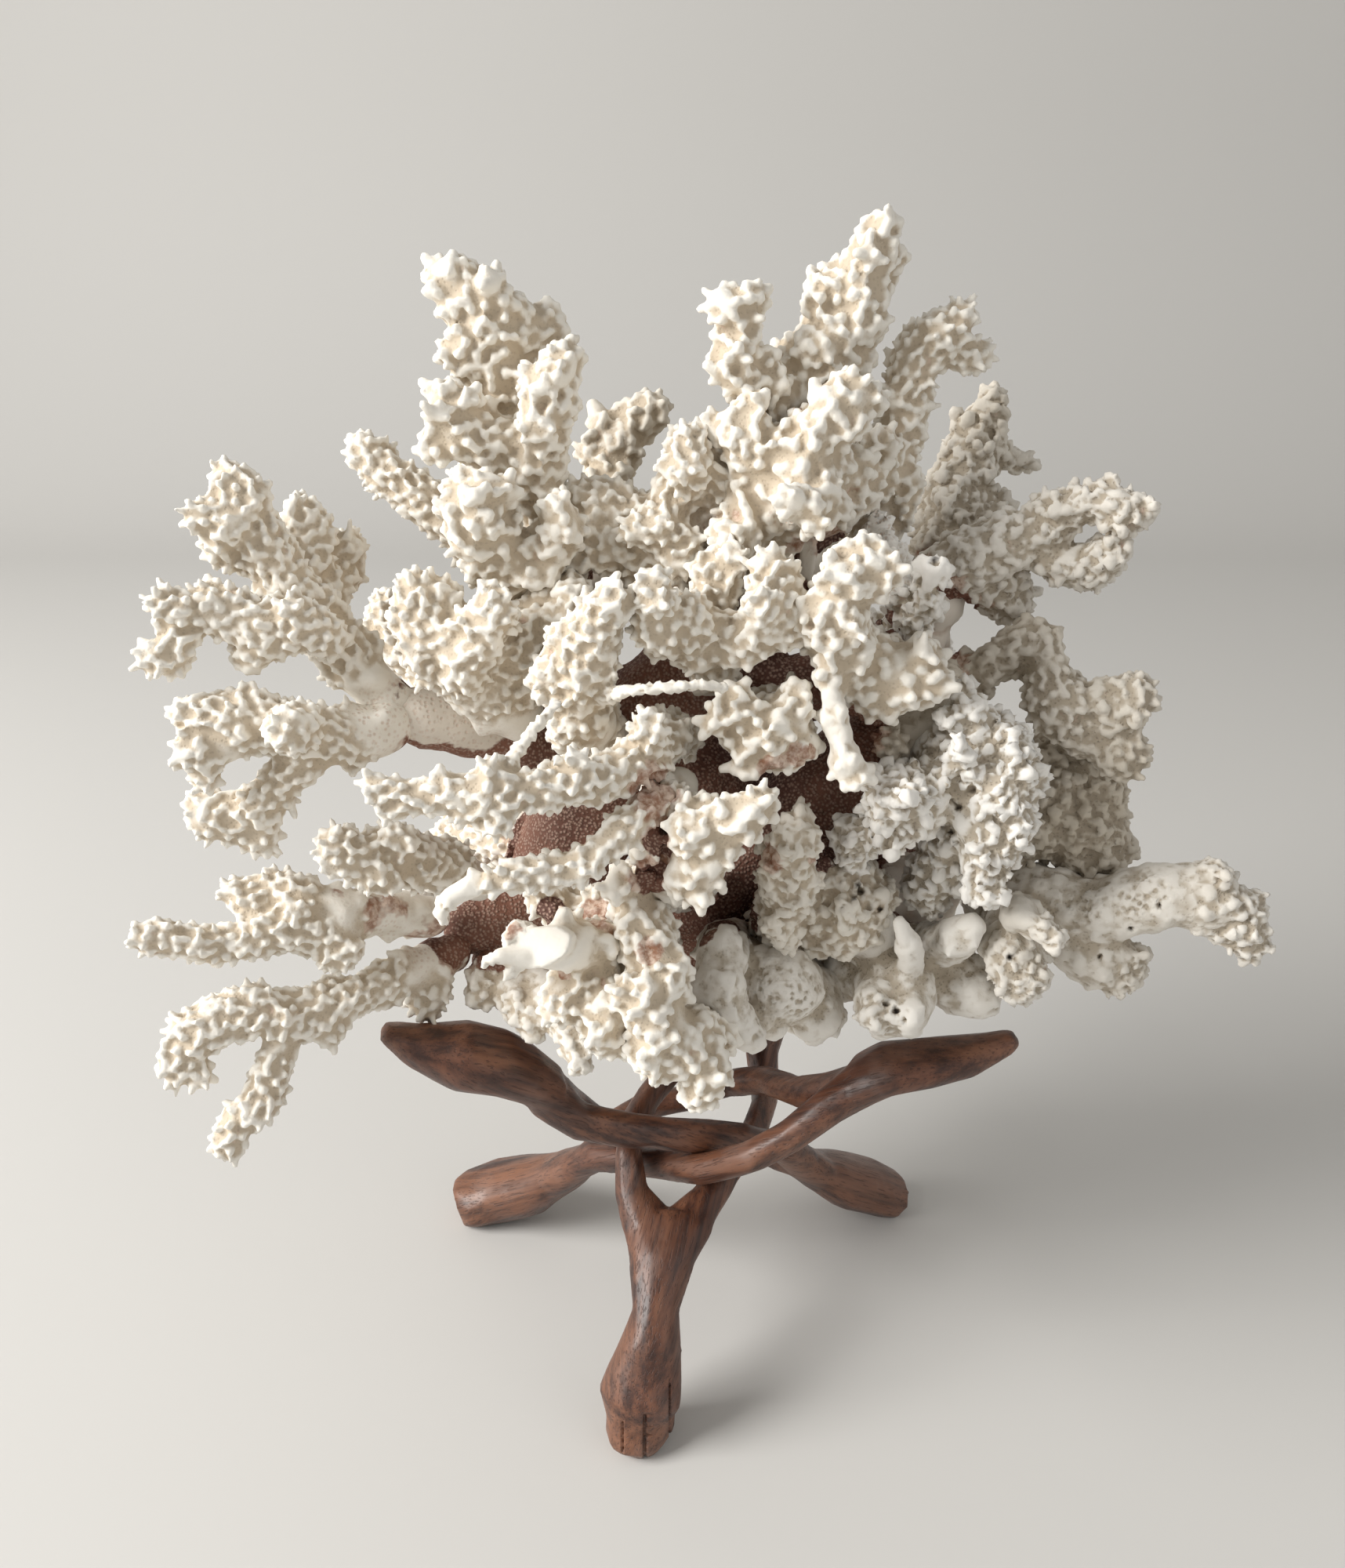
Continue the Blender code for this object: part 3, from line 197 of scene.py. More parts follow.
        [(10, 200, -10, 8), (9, 206, -28, 7.5), (-3, 212, -38, 7), (-5, 221, -44, 7),
         (-6, 227, -46, 5.5)],
        [(9, 206, -30, 7.5), (20, 210, -36, 7), (24, 219, -40, 6.5), (23, 224, -42, 5)],
        [(2, 210, -34, 8), (6, 219, -38, 8)],
        [(20, 208, -32, 8), (29, 215, -36, 7), (27, 225, -36, 6.5), (22, 232, -36, 5)],
        [(10, 216, -22, 8), (13, 226, -26, 7), (15, 234, -28, 5)],
    ]},
    "top_right": {"slot": "pale_coral", "coat": "knobbly", "bareRoot": 0.0, "weatherAndShade": 0.0, "strands": [
        [(26, 228, 8, 10), (27, 248, 5, 10), (29, 264, 2, 10), (33, 276, 0, 10.5), (42, 287, -2, 11),
         (47, 297, -4, 10), (51, 307, -6, 6.5), (54, 314, -8, 5.5), (57, 319, -8, 4.5)],
        [(50, 305, -6, 5.5), (57, 309, -4, 4.5)],
        [(42, 294, -4, 7), (35, 302, -6, 5)],
        [(26, 266, -3, 8.5), (20, 275, -10, 8), (16, 282, -12, 7), (18, 292, -14, 5),
         (10, 298, -16, 4.5)],
        [(18, 290, -14, 5), (22, 301, -14, 5)],
    ]},
    "top_right_front": {"slot": "pale_coral", "coat": "knobbly", "bareRoot": 0.0, "weatherAndShade": 0.0, "strands": [
        [(22, 230, -6, 9), (26, 242, -14, 9), (34, 252, -17, 9), (40, 262, -20, 8.5),
         (46, 271, -22, 7.5), (49, 275, -22, 6)],
        [(30, 250, -16, 8), (30, 260, -24, 7)],
        [(28, 242, -16, 8.5), (36, 245, -24, 8), (31, 239, -31, 5)],
        [(20, 238, -16, 7), (12, 232, -26, 6)],
        [(22, 238, -12, 8), (16, 247, -20, 8)],
        [(26, 244, -14, 8), (20, 257, -18, 8), (15, 268, -16, 7)],
        [(32, 236, -8, 8), (42, 246, -8, 9), (46, 256, -10, 7)],
    ]},
    "right_top": {"slot": "pale_coral", "coat": "pegged", "bareRoot": 0.05, "weatherAndShade": 0.0, "strands": [
        [(52, 228, 10, 8), (52, 240, 9, 8), (53, 250, 8, 8), (59, 262, 6, 7), (60, 275, 4, 7),
         (64, 283, 2, 8), (72, 288, 0, 6), (77, 294, -2, 5)],
        [(66, 284, 2, 6), (76, 282, 4, 5.5), (82, 281, 4, 5)],
        [(64, 285, 2, 5), (68, 291, 5, 4.5)],
        [(62, 282, 4, 5), (61, 290, 8, 5)],
        [(52, 244, 4, 7), (51, 257, -4, 6.5), (57, 262, -5, 5)],
        [(56, 236, 6, 5), (60, 246, 0, 4.5), (63, 252, -2, 3.5)],
    ]},
    "right_back": {"slot": "eroded_coral", "coat": "rough", "bareRoot": 0.0, "weatherAndShade": 0.7, "strands": [
        [(66, 224, 24, 9), (69, 234, 28, 9), (72, 244, 31, 9.5), (75, 254, 33, 8), (80, 266, 34, 5),
         (83, 274, 34, 3.5)],
        [(78, 256, 33, 5), (84, 256, 35, 4), (92, 253, 36, 3)],
        [(72, 240, 30, 9), (82, 240, 30, 7), (86, 232, 28, 6)],
    ]},
    "right_high": {"slot": "eroded_coral", "coat": "worn", "ends": "rough", "endsFrom": 0.55,
        "bareRoot": 0.0, "weatherAndShade": 0.45, "strands": [
        [(69, 226, 10, 8.5), (76, 229.5, 8, 10), (84, 234, 7, 9), (92, 236, 6, 7.5), (100, 241, 2, 5.5),
         (110, 244, -2, 6), (116, 241, -4, 7), (121, 238, -6, 4.5)],
        [(116, 242, -4, 5), (120, 244, -4, 4)],
        [(92, 234, 6, 7), (98, 230, 4, 6), (108, 227, 0, 6.5), (114, 234, -4, 6)],
        [(104, 227, 2, 4), (102, 222, 2, 4)],
        [(76, 226, 10, 9), (84, 222, 12, 8), (88, 215, 12, 6)],
    ]},
    "right_cluster": {"slot": "pale_coral", "coat": "knobbly", "bareRoot": 0.0, "weatherAndShade": 0.0, "strands": [
        [(56, 196, -6, 10), (49, 203, -22, 10), (42, 208, -32, 9.5), (41, 216, -37, 9),
         (44, 223, -40, 8.5), (49, 231, -42, 5.5)],
        [(50, 200, -28, 9.5), (60, 200, -30, 9), (67, 205, -30, 7)],
        [(42, 204, -34, 6), (41.5, 193, -41, 3.6), (43, 182, -44, 3.7), (45, 176, -46, 4.2),
         (50, 171, -47, 4)],
        [(42, 208, -34, 7), (37, 212, -42, 5.5)],
    ]},
    "ring_stem": {"slot": "eroded_coral", "coat": "chalk", "bareRoot": 0.0, "weatherAndShade": 0.1, "strands": [
        [(62, 214, -4, 6), (59, 221, -12, 4.8), (54, 232, -14, 4), (51, 240, -12, 4)],
        [(62, 215, -6, 5), (64, 216, -18, 4.2), (65, 222, -25, 4), (67, 229, -28, 6)],
    ]},
    "right_middle": {"slot": "eroded_coral", "coat": "worn", "ends": "pegged", "endsFrom": 0.8,
        "bareRoot": 0.0, "weatherAndShade": 0.75, "strands": [
        [(64, 196, 4, 9), (77, 199.5, 2, 6), (86, 205.5, 0, 6), (92, 210, 0, 6), (95, 203, -4, 6.5),
         (97, 195, -7, 8.5), (102, 188, -10, 9.5)],
        [(104, 188, -10, 8), (112, 190, -13, 7.5), (118, 195, -15, 6.5), (122, 196, -15, 5)],
        [(110, 192, -12, 5.5), (111, 198, -14, 4.5)],
        [(104, 186, -10, 8), (114, 180, -14, 7), (120, 180, -16, 5.5)],
        [(69, 197, 0, 8.5), (67, 192, -12, 9), (66, 184, -16, 8)],
        [(62, 190, -6, 6), (56, 183, -22, 4.5), (55, 181, -28, 4.5)],
    ]},
    "right_front": {"slot": "eroded_coral", "coat": "chalk", "bareRoot": 0.0, "weatherAndShade": 0.1, "strands": [
        [(64, 178, -4, 12), (72, 180, -22, 11), (83, 179, -30, 11), (82, 164, -34, 12),
         (79, 150, -36, 9.5)],
        [(76, 186, -26, 8), (76, 193, -34, 5)],
        [(88, 178, -30, 6), (91, 184, -34, 4)],
        [(72, 170, -24, 10), (60, 169, -36, 8.5), (53, 168, -44, 7)],
        [(62, 166, -34, 7), (50, 158, -31, 6), (42, 154, -28, 5)],
        [(76, 160, -22, 10), (69, 152, -20, 8), (64, 142, -16, 7.5)],
        [(79, 150, -36, 7), (76, 141, -40, 3)],
        [(75, 176, -34, 5), (73, 180, -40, 3), (73, 185, -42, 2.6)],
    ]},
    "right_side": {"slot": "eroded_coral", "coat": "rough", "bareRoot": 0.0, "weatherAndShade": 1.0, "strands": [
        [(74, 162, 4, 12), (86, 163, 2, 13), (98, 164, -2, 12), (108, 159, -6, 9), (117, 155, -8, 6)],
        [(92, 168, 0, 11), (98, 177, 2, 10), (106, 180, 4, 7)],
        [(98, 166, -2, 10), (108, 169, -4, 8), (115, 169, -4, 6)],
        [(104, 156, -4, 8), (112, 149, -10, 6)],
    ]},
    "right_low": {"slot": "eroded_coral", "coat": "smooth", "ends": "rough", "endsFrom": 0.8,
        "bareRoot": 0.0, "weatherAndShade": 0.5, "strands": [
        [(84, 142, -4, 11), (96, 141, -12, 11), (106, 139, -18, 10), (118, 142, -22, 9.5),
         (128, 144, -24, 9.5), (138, 142, -26, 9.5), (146, 136, -28, 7), (148, 128, -29, 5)],
        [(134, 146, -26, 8), (141, 150, -26, 6)],
        [(98, 136, -14, 9.5), (109, 128, -20, 9.5), (119, 124, -22, 7.5)],
        [(86, 136, -16, 8), (86.5, 128, -32, 8), (91, 118.5, -34, 7.5)],
        [(90, 139, -22, 6), (88, 138.5, -36, 5), (94, 135, -40, 4), (100, 131, -42, 3.5)],
    ]},
    "front_middle": {"slot": "pale_coral", "coat": "knobbly", "bareRoot": 0.25, "weatherAndShade": 0.0, "strands": [
        [(22, 188, -8, 9), (26, 187, -28, 10), (25, 185, -38, 11), (21, 181, -46, 8)],
        [(28, 187, -38, 8), (32, 190, -44, 6)],
        [(20, 187, -40, 7.5), (16, 191, -46, 6)],
        [(27, 182, -40, 8), (31, 177, -44, 6.5)],
        [(20, 180, -42, 6), (20, 174, -46, 4.5)],
    ]},
    "front_post": {"slot": "pale_coral", "coat": "rough", "bareRoot": 0.0, "weatherAndShade": 0.3, "strands": [
        [(28, 132, -2, 9), (29, 140, -24, 9), (30, 150, -36, 8), (31, 158, -42, 7.5),
         (31, 162, -45, 6)],
        [(27, 140, -28, 7), (27, 133, -40, 5)],
        [(29, 148, -36, 6), (24, 149, -42, 4.5)],
        [(36, 150, -20, 9), (45, 147, -22, 9), (54, 141, -20, 8)],
        [(36, 136, -20, 10), (46, 138, -26, 10), (50, 142, -28, 8)],
        [(30, 144, -34, 5), (36, 142, -42, 3.5)],
    ]},
    "front_crown": {"slot": "pale_coral", "coat": "knobbly", "bareRoot": 0.25, "weatherAndShade": 0.0, "strands": [
        [(2, 146, -8, 9), (4, 149, -36, 8), (6, 156, -50, 9.5), (11, 161, -56, 8)],
        [(8, 160, -54, 7), (14, 167, -58, 6.5)],
        [(12, 160, -55, 7), (21, 166, -57, 6.5), (24, 167, -57, 5)],
        [(4, 157, -54, 7), (0, 162, -58, 5)],
        [(8, 152, -54, 8), (11, 147, -59, 6)],
        [(12, 156, -56, 6), (17, 153, -58, 4.5)],
        [(2, 150, -52, 6), (2, 145, -57, 4.5)],
        [(2, 172, -34, 7), (-4, 166, -44, 6.5), (-8, 157, -47, 4), (-6, 148, -48, 4),
         (-1, 143, -46, 5)],
    ]},
    "stub": {"slot": "pale_coral", "coat": "pegged", "bareRoot": 0.1, "weatherAndShade": 0.0, "strands": [
        [(-6, 130, -4, 9), (-8, 131, -26, 9), (-15, 130, -44, 8), (-24, 130.5, -54, 7),
         (-34, 130.5, -66, 6.5)],
        [(-24, 130, -53, 6.5), (-39, 128.5, -66, 5)],
        [(-36, 134, -54, 3.4), (-40.5, 135.2, -60, 3.4)],
        [(-38, 133, -56, 3), (-43, 132.5, -61, 3)],
        [(-20, 126, -48, 7), (-29, 117, -58, 7), (-32, 112, -61, 5.5)],
        [(-26, 118, -56, 5), (-25, 113, -62, 4.5)],
        [(-12, 124, -46, 8), (-16, 115, -57, 8.5), (-16, 108, -60, 6), (-14, 103, -62, 4)],
        [(-36, 128, -61, 4), (-44, 128, -64, 3), (-49, 125.5, -66, 1.6)],
        [(-38, 127, -62, 3), (-43, 122.5, -65, 2)],
        [(-10, 136, -20, 8), (-18, 141, -30, 7), (-22, 143, -36, 5)],
        [(-20, 138, -26, 7), (-32, 141, -34, 5.5), (-37, 141, -36, 4)],
    ]},
    "low_left": {"slot": "pale_coral", "coat": "smooth", "ends": "worn", "endsFrom": 0.6,
        "bareRoot": 0.0, "weatherAndShade": 0.0, "strands": [
        [(-44, 130, 2, 7), (-48, 122, -12, 5.5), (-49, 116, -18, 4.5)],
        [(-42, 128, 0, 7), (-39, 117, -18, 6), (-35, 107, -26, 4)],
        [(-40, 124, -6, 6), (-30, 116, -22, 6), (-25.5, 108, -28, 5), (-24, 99, -34, 4)],
    ]},
    "low_front": {"slot": "pale_coral", "coat": "knobbly", "bareRoot": 0.12, "weatherAndShade": 0.0, "strands": [
        [(-4, 148, -8, 8), (-8, 146, -30, 7), (-8, 139, -46, 8), (-5, 131, -55, 6.5), (-2, 125, -59, 7.5),
         (-4, 117, -61, 8), (-4, 108, -63, 8), (-5, 99, -64, 7)],
        [(-8, 144, -46, 6), (-15, 146, -54, 5), (-19, 144, -57, 3.5)],
        [(-7, 137, -50, 6), (-13, 136, -56, 5)],
        [(-2, 112, -62, 7), (5, 103, -62, 7), (9, 98, -63, 7), (9, 91, -64, 5.5)],
        [(8, 99, -62, 6), (14, 96, -63, 4.5)],
        [(-4, 106, -62, 7), (-10, 102.5, -65, 4.5)],
        [(-4, 119, -60, 7), (-11, 119, -64, 5.5), (-15, 120, -65, 4)],
        [(0, 110, -58, 8), (9, 108, -52, 6.5), (14.5, 104, -50, 4.5)],
        [(-1, 124, -60, 5), (4, 126, -60, 3.5)],
    ]},
    "low_middle": {"slot": "eroded_coral", "coat": "smooth", "bareRoot": 0.0, "weatherAndShade": 0.3, "strands": [
        [(14, 130, -4, 9), (13, 129, -30, 7.5), (12, 122, -44, 7.5), (13, 117, -45, 6.5), (17, 111, -46, 6),
         (22, 106, -46, 5)],
        [(13, 130, -30, 7), (12, 131, -40, 6.5)],
        [(10, 120, -44, 6), (7, 116.5, -46, 4)],
        [(20, 124, -12, 10), (28, 121, -30, 12), (26, 118, -37, 10.5)],
        [(34, 118, -20, 11), (38, 112, -28, 6.5), (33, 107, -32, 4)],
        [(34, 117, -20, 9), (43, 110, -26, 4)],
        [(22, 112, -38, 6), (28, 109, -36, 4.5)],
    ]},
    "low_right": {"slot": "eroded_coral", "coat": "smooth", "bareRoot": 0.0, "weatherAndShade": 0.3, "strands": [
        [(52, 132, 0, 11), (56, 123, -20, 11.5), (57, 117, -30, 11.5), (58, 111, -36, 9)],
        [(52, 117, -34, 7), (51, 111, -42, 6)],
        [(60, 114, -38, 6), (61, 111, -44, 5.5)],
        [(52, 130, -8, 9), (49, 137, -26, 9)],
        [(62, 128, -8, 10), (75, 121, -20, 9.5), (80, 115.5, -26, 8.5)],
        [(66, 130, -14, 8), (73, 133, -32, 6), (78, 137, -35, 4.5)],
        [(61, 126, -32, 4.5), (60, 132, -37, 4), (57.5, 137.5, -39, 2.4)],
        [(46, 128, -8, 10), (43, 120, -20, 8)],
    ]},
    "back_high_left": {"slot": "pale_coral", "coat": "pegged", "bareRoot": 0.07, "weatherAndShade": 0.0, "strands": [
        [(-20, 224, 20, 9), (-34, 238, 36, 8), (-46, 250, 46, 7), (-51, 262, 50, 5.5)],
        [(-36, 240, 38, 6), (-34, 252, 50, 5)],
        [(-44, 248, 44, 6), (-56, 250, 56, 4.5)],
    ]},
    "back_high_middle": {"slot": "pale_coral", "coat": "pegged", "bareRoot": 0.07, "weatherAndShade": 0.0, "strands": [
        [(6, 222, 26, 10), (8, 238, 46, 8.5), (4, 252, 58, 7), (8, 262, 64, 5)],
        [(6, 244, 52, 6), (14, 252, 54, 4.5)],
        [(6, 236, 46, 7), (-6, 238, 62, 5.5)],
    ]},
    "back_high_right": {"slot": "pale_coral", "coat": "pegged", "bareRoot": 0.07, "weatherAndShade": 0.0, "strands": [
        [(36, 224, 26, 10), (42, 240, 42, 8), (46, 256, 50, 6.5), (44, 268, 52, 5)],
        [(42, 242, 44, 6), (34, 252, 52, 5)],
        [(44, 246, 46, 6), (54, 252, 56, 4.5)],
    ]},
    "back_left": {"slot": "pale_coral", "coat": "pegged", "bareRoot": 0.07, "weatherAndShade": 0.0, "strands": [
        [(-34, 192, 20, 10), (-52, 196, 34, 8.5), (-66, 204, 44, 7), (-74, 213, 48, 6),
         (-71, 221, 50, 4.5)],
        [(-56, 198, 38, 7), (-60, 192, 54, 5.5), (-66, 194, 62, 4.5)],
        [(-64, 204, 44, 6), (-58, 216, 52, 5)],
    ]},
    "back_left_low": {"slot": "pale_coral", "coat": "pegged", "bareRoot": 0.07, "weatherAndShade": 0.0, "strands": [
        [(-30, 160, 22, 10), (-48, 158, 38, 8), (-60, 152, 50, 7), (-66, 146, 58, 5)],
        [(-50, 158, 40, 6), (-54, 168, 54, 5)],
        [(-44, 156, 38, 7), (-40, 146, 54, 5.5)],
    ]},
    "back_middle": {"slot": "pale_coral", "coat": "pegged", "bareRoot": 0.07, "weatherAndShade": 0.0, "strands": [
        [(0, 178, 40, 12), (2, 182, 56, 10), (-6, 190, 72, 8), (-12, 197, 80, 6)],
        [(4, 180, 56, 8), (16, 173, 74, 7.5), (20, 168, 84, 5.5)],
        [(0, 184, 60, 7), (6, 200, 76, 6), (4, 208, 80, 4.5)],
        [(2, 176, 52, 8), (-12, 168, 72, 6.5), (-18, 164, 80, 5)],
    ]},
    "back_right": {"slot": "eroded_coral", "coat": "pegged", "bareRoot": 0.07, "weatherAndShade": 0.0, "strands": [
        [(52, 198, 24, 11), (61, 203, 42, 9), (62, 214, 54, 7), (64, 223, 60, 5.5)],
        [(62, 202, 40, 7), (56, 208, 58, 6), (52, 214, 66, 4.5)],
        [(64, 202, 46, 7), (74, 197, 58, 5.5)],
    ]},
    "back_right_low": {"slot": "eroded_coral", "coat": "pegged", "bareRoot": 0.07, "weatherAndShade": 0.0, "strands": [
        [(48, 158, 24, 11), (62, 156, 42, 9), (71, 150, 54, 7.5), (80, 146, 60, 6)],
        [(60, 156, 40, 7), (56, 166, 58, 6), (60, 172, 66, 4.5)],
        [(58, 154, 40, 7), (50, 144, 56, 6)],
    ]},
    "back_low": {"slot": "pale_coral", "coat": "pegged", "bareRoot": 0.07, "weatherAndShade": 0.0, "strands": [
        [(6, 138, 24, 12), (4, 130, 42, 9), (-6, 124, 54, 7.5), (-12, 118, 62, 5.5)],
        [(6, 132, 40, 8), (16, 128, 56, 6)],
        [(2, 132, 44, 7), (0, 140, 62, 6)],
    ]},
}

# How each kind of surface is made, in millimetres: pegs stand on the skin, lumps swell it, grit roughens it
coats = {
    "pegged": {"spacing": 2.15, "size": 1.0, "height": 2.2, "lean": 0.45, "lumps": 0.9, "grit": 0.08,
               "crumbs": 0.0, "pits": 0.0, "knobs": 1.0},
    "knobbly": {"spacing": 2.5, "size": 1.28, "height": 2.3, "lean": 0.35, "lumps": 1.2, "grit": 0.1,
                "crumbs": 0.0, "pits": 0.0, "knobs": 1.25},
    "rough": {"spacing": 2.8, "size": 1.3, "height": 1.4, "lean": 0.3, "lumps": 1.5, "grit": 0.4,
              "crumbs": 0.9, "pits": 0.25, "knobs": 0.95},
    "chalk": {"spacing": 2.9, "size": 1.3, "height": 1.1, "lean": 0.2, "lumps": 1.8, "grit": 0.5,
              "crumbs": 1.5, "pits": 0.15, "knobs": 1.1},
    "worn": {"spacing": 3.4, "size": 1.5, "height": 1.2, "lean": 0.2, "lumps": 1.5, "grit": 0.3,
             "crumbs": 0.6, "pits": 0.1, "knobs": 0.8},
    "smooth": {"spacing": 8.0, "size": 2.2, "height": 0.6, "lean": 0.1, "lumps": 1.3, "grit": 0.14,
               "crumbs": 0.2, "pits": 0.12, "knobs": 0.5},
    "sawn": {"spacing": 40.0, "size": 1.0, "height": 0.1, "lean": 0.0, "lumps": 0.0, "grit": 0.05,
             "crumbs": 0.0, "pits": 0.0, "knobs": 0.0},
    "granular": {"spacing": 6.0, "size": 2.0, "height": 0.6, "lean": 0.1, "lumps": 0.8, "grit": 0.15,
                 "crumbs": 0.0, "pits": 0.0, "knobs": 0.0},
}

# Stretches that carry no pegs, though their coat does
bareSpots = [(-76, 188, -24, 10), (-62, 190, -18, 11), (-50, 190, -12, 12), (-86, 138, -28, 8),
             (-75, 139, -20, 9), (-50, 198, -20, 9), (30, 242, -24, 7), (-66, 126, -18, 7),
             (8, 236, -12, 5), (57, 225, -13, 7), (53, 236, -13, 8)]

# Places where another coat breaks through, whatever the piece's own
coatSpots = {
    "rough": [(52, 112, -40, 9), (87, 126, -34, 10), (91, 118, -34, 9), (49, 142, -28, 8),
              (85, 112, -30, 5), (54, 168, -44, 8), (46, 158, -30, 5), (76, 193, -36, 6), (30, 134, -38, 5)],
    "smooth": [(67, 229, -31, 8), (43, 184, -44, 9), (41.5, 194, -41, 7), (50, 197, -26, 7),
               (58, 202, -30, 9), (61, 112, -44, 6), (72, 164, -36, 9), (70, 152, -34, 7),
               (-16, 112, -60, 6), (-14, 130, -48, 7), (40, 243, -8, 8), (56, 196, -14, 8),
               (-22, 131, -54, 8), (-45, 126, -64, 6), (62, 186, -16, 9)],
    "sawn": [(-34, 130, -60, 12)],
}

# A fine honeycomb of pits, and faint round pits on the worn right branch
combSpots = [(25, 119, -42, 12), (33, 118, -38, 8), (120, 143, -30, 9), (104, 141, -26, 8),
             (52, 236, -14, 8)]

# Dark granular skeleton, where the trunk is pale all the same, and thin rust where they meet
brownSpots = [(-44, 135, -8, 13), (-58, 132, -10, 9), (14, 140, -22, 11), (-3, 206, -8, 8),
              (36, 231, -4, 12), (56, 215, -8, 6), (-6, 168, -46, 6), (-3, 158, -52, 6), (-5, 148, -50, 6),
              (14, 168, -30, 8), (-30, 138, -40, 7), (34, 157, -22, 11), (6, 136, -36, 7),
              (49, 187, -18, 9), (-17, 226, 0, 6), (-9, 217, -6, 6), (10, 232, -6, 5), (-57, 127, -8, 6)]
paleSpots = [(70, 146, 8, 20), (56, 138, 8, 10), (64, 192, 8, 14), (66, 212, 12, 16)]
rustSpots = [(-70, 197, -14, 4), (-57, 188, -26, 3.5), (-71, 181.5, -24, 3.5), (-85, 144.5, -30, 3.5),
             (-74, 139, -24, 9), (-64, 136, -16, 8), (-60, 133, -18, 7), (-58, 127, -14, 6),
             (-42, 135, -62, 5), (-30, 137, -54, 5), (-18, 136, -50, 5), (-35, 123.5, -62, 3),
             (-28, 124, -58, 3), (-6, 129.5, -60, 5), (-18, 121, -54, 4.5), (-29, 143, -46, 7),
             (-29, 185, -44, 3.5), (-5, 170, -52, 9), (-4, 158, -56, 6), (28, 198, -14, 8),
             (49, 184, -24, 7), (25, 176, -46, 5), (33, 179, -44, 5), (23, 153, -44, 7), (35, 154, -42, 4),
             (50, 172, -46, 2.5), (44, 175, -46, 2), (22, 266, -6, 3), (31, 267, -16, 2.5),
             (10, 237, -18, 4), (64, 237, -4, 4), (58, 223, -12, 6), (-17, 226, -6, 5), (-9, 217, -12, 5),
             (40, 233, -12, 7), (34, 196, -26, 5), (-4, 164, -46, 10), (-5, 149, -52, 8),
             (-20, 138, -40, 8), (-13, 131, -46, 6), (35, 232, -20, 7)]

# Small holes, dented into the skin and painted near black as shade, as the view shows them: (across, up,
# radius)
holes = {
    "ring_stem": [(67, 229, 1.3)],
    "low_right": [(57, 114, 1.1), (54.5, 116, 0.8), (59, 111.5, 0.7)],
    "right_front": [(71.5, 167.5, 0.7), (73, 166, 0.8), (76.2, 170.3, 1.0), (71, 159.5, 0.7),
                    (72.2, 156.8, 0.6), (66, 170, 0.8)],
    "front_post": [(48, 144.6, 0.9), (46.2, 143.2, 0.6), (50.3, 140.4, 0.6), (53, 140, 0.7), (47, 146, 0.6)],
    "right_low": [(86, 128, 0.8), (109, 128, 0.7), (124, 141, 0.7), (117, 135, 0.6)],
}

# Thin flakes, and the face of the stub: the corners as (across, up, deep), then the thickness
flakes = {"front_crown": [([(-7, 162, -52), (-4.4, 163, -53), (-3.0, 157, -54), (-3.4, 151.5, -53.5),
                            (-5.6, 151, -52)], 1.8)],
          "stub": [([(-43.5, 129.5, -58.6), (-42, 133, -57.9), (-36.5, 135.4, -58.9), (-28.5, 136, -61.4),
                     (-25, 133.4, -63.4), (-26, 129.2, -64.5), (-31, 125.6, -64.1), (-37, 124.8, -62.4),
                     (-41.5, 126.6, -60.3)], 3.6)],
          "right_cluster": [([(32.6, 237, -14), (35.6, 239, -15), (37, 231, -15), (35.4, 223, -14),
                              (32.6, 226, -13)], 2.0)]}

# The stub's first strands end in one flat face: how many, a point on it and the way it looks
sawn = {"strands": 2, "centre": (-34.0, 130.0, -60.0), "way": (-0.36, -0.87, 0.34)}


def addBall(bm, centre, radius, detail):
    made = bmesh.ops.create_icosphere(bm, subdivisions=detail, radius=radius)
    bmesh.ops.translate(bm, vec=centre, verts=made["verts"])


def addCone(bm, start, end, startRadius, endRadius):
    along = end - start
    turn = along.to_track_quat("Z", "Y").to_matrix().to_4x4()
    turn.translation = (start + end) / 2
    bmesh.ops.create_cone(bm, cap_ends=True, segments=14, radius1=startRadius, radius2=endRadius,
                          depth=along.length, matrix=turn)


run = {"step": 0.005, "fullness": 1.0, "tipRounding": 0.7, "shortestTip": 0.6, "thin": 3.0, "slimness": 0.8,
       "lobeEvery": 3.0, "lobeMost": 5.2, "lobeSize": (0.40, 0.62), "lobeOut": (0.3, 1.15), "lobeLean": 0.45}


def curved(stations):
    # Points and radii on a smooth run through the stations; the last one is the very tip.
    points, sizes = zip(*(place(*station) for station in stations))
    radii = [size[0] for size in sizes]
    back = points[-2] - points[-1]
    inset = min(run["tipRounding"] * radii[-1], run["shortestTip"] * back.length)
    tip = points[-1] + back.normalized() * inset
    points = [*points[:-1], tip]
    smooth = []
    for number in range(len(points) - 1):
        before, start, end, after = (points[max(number - 1, 0)], points[number], points[number + 1],
                                     points[min(number + 2, len(points) - 1)])
        steps = max(1, round((end - start).length / run["step"]))
        for step in range(steps):
            t = step / steps
            bend = 2 * before - 5 * start + 4 * end - after
            twist = 3 * start - before - 3 * end + after
            spot = 0.5 * ((2 * start) + (end - before) * t + bend * t * t + twist * t ** 3)
            smooth.append((spot, radii[number] + (radii[number + 1] - radii[number]) * t))
    smooth.append((points[-1], radii[-1]))
    return [spot for spot, _ in smooth], [radius * run["fullness"] for _, radius in smooth]


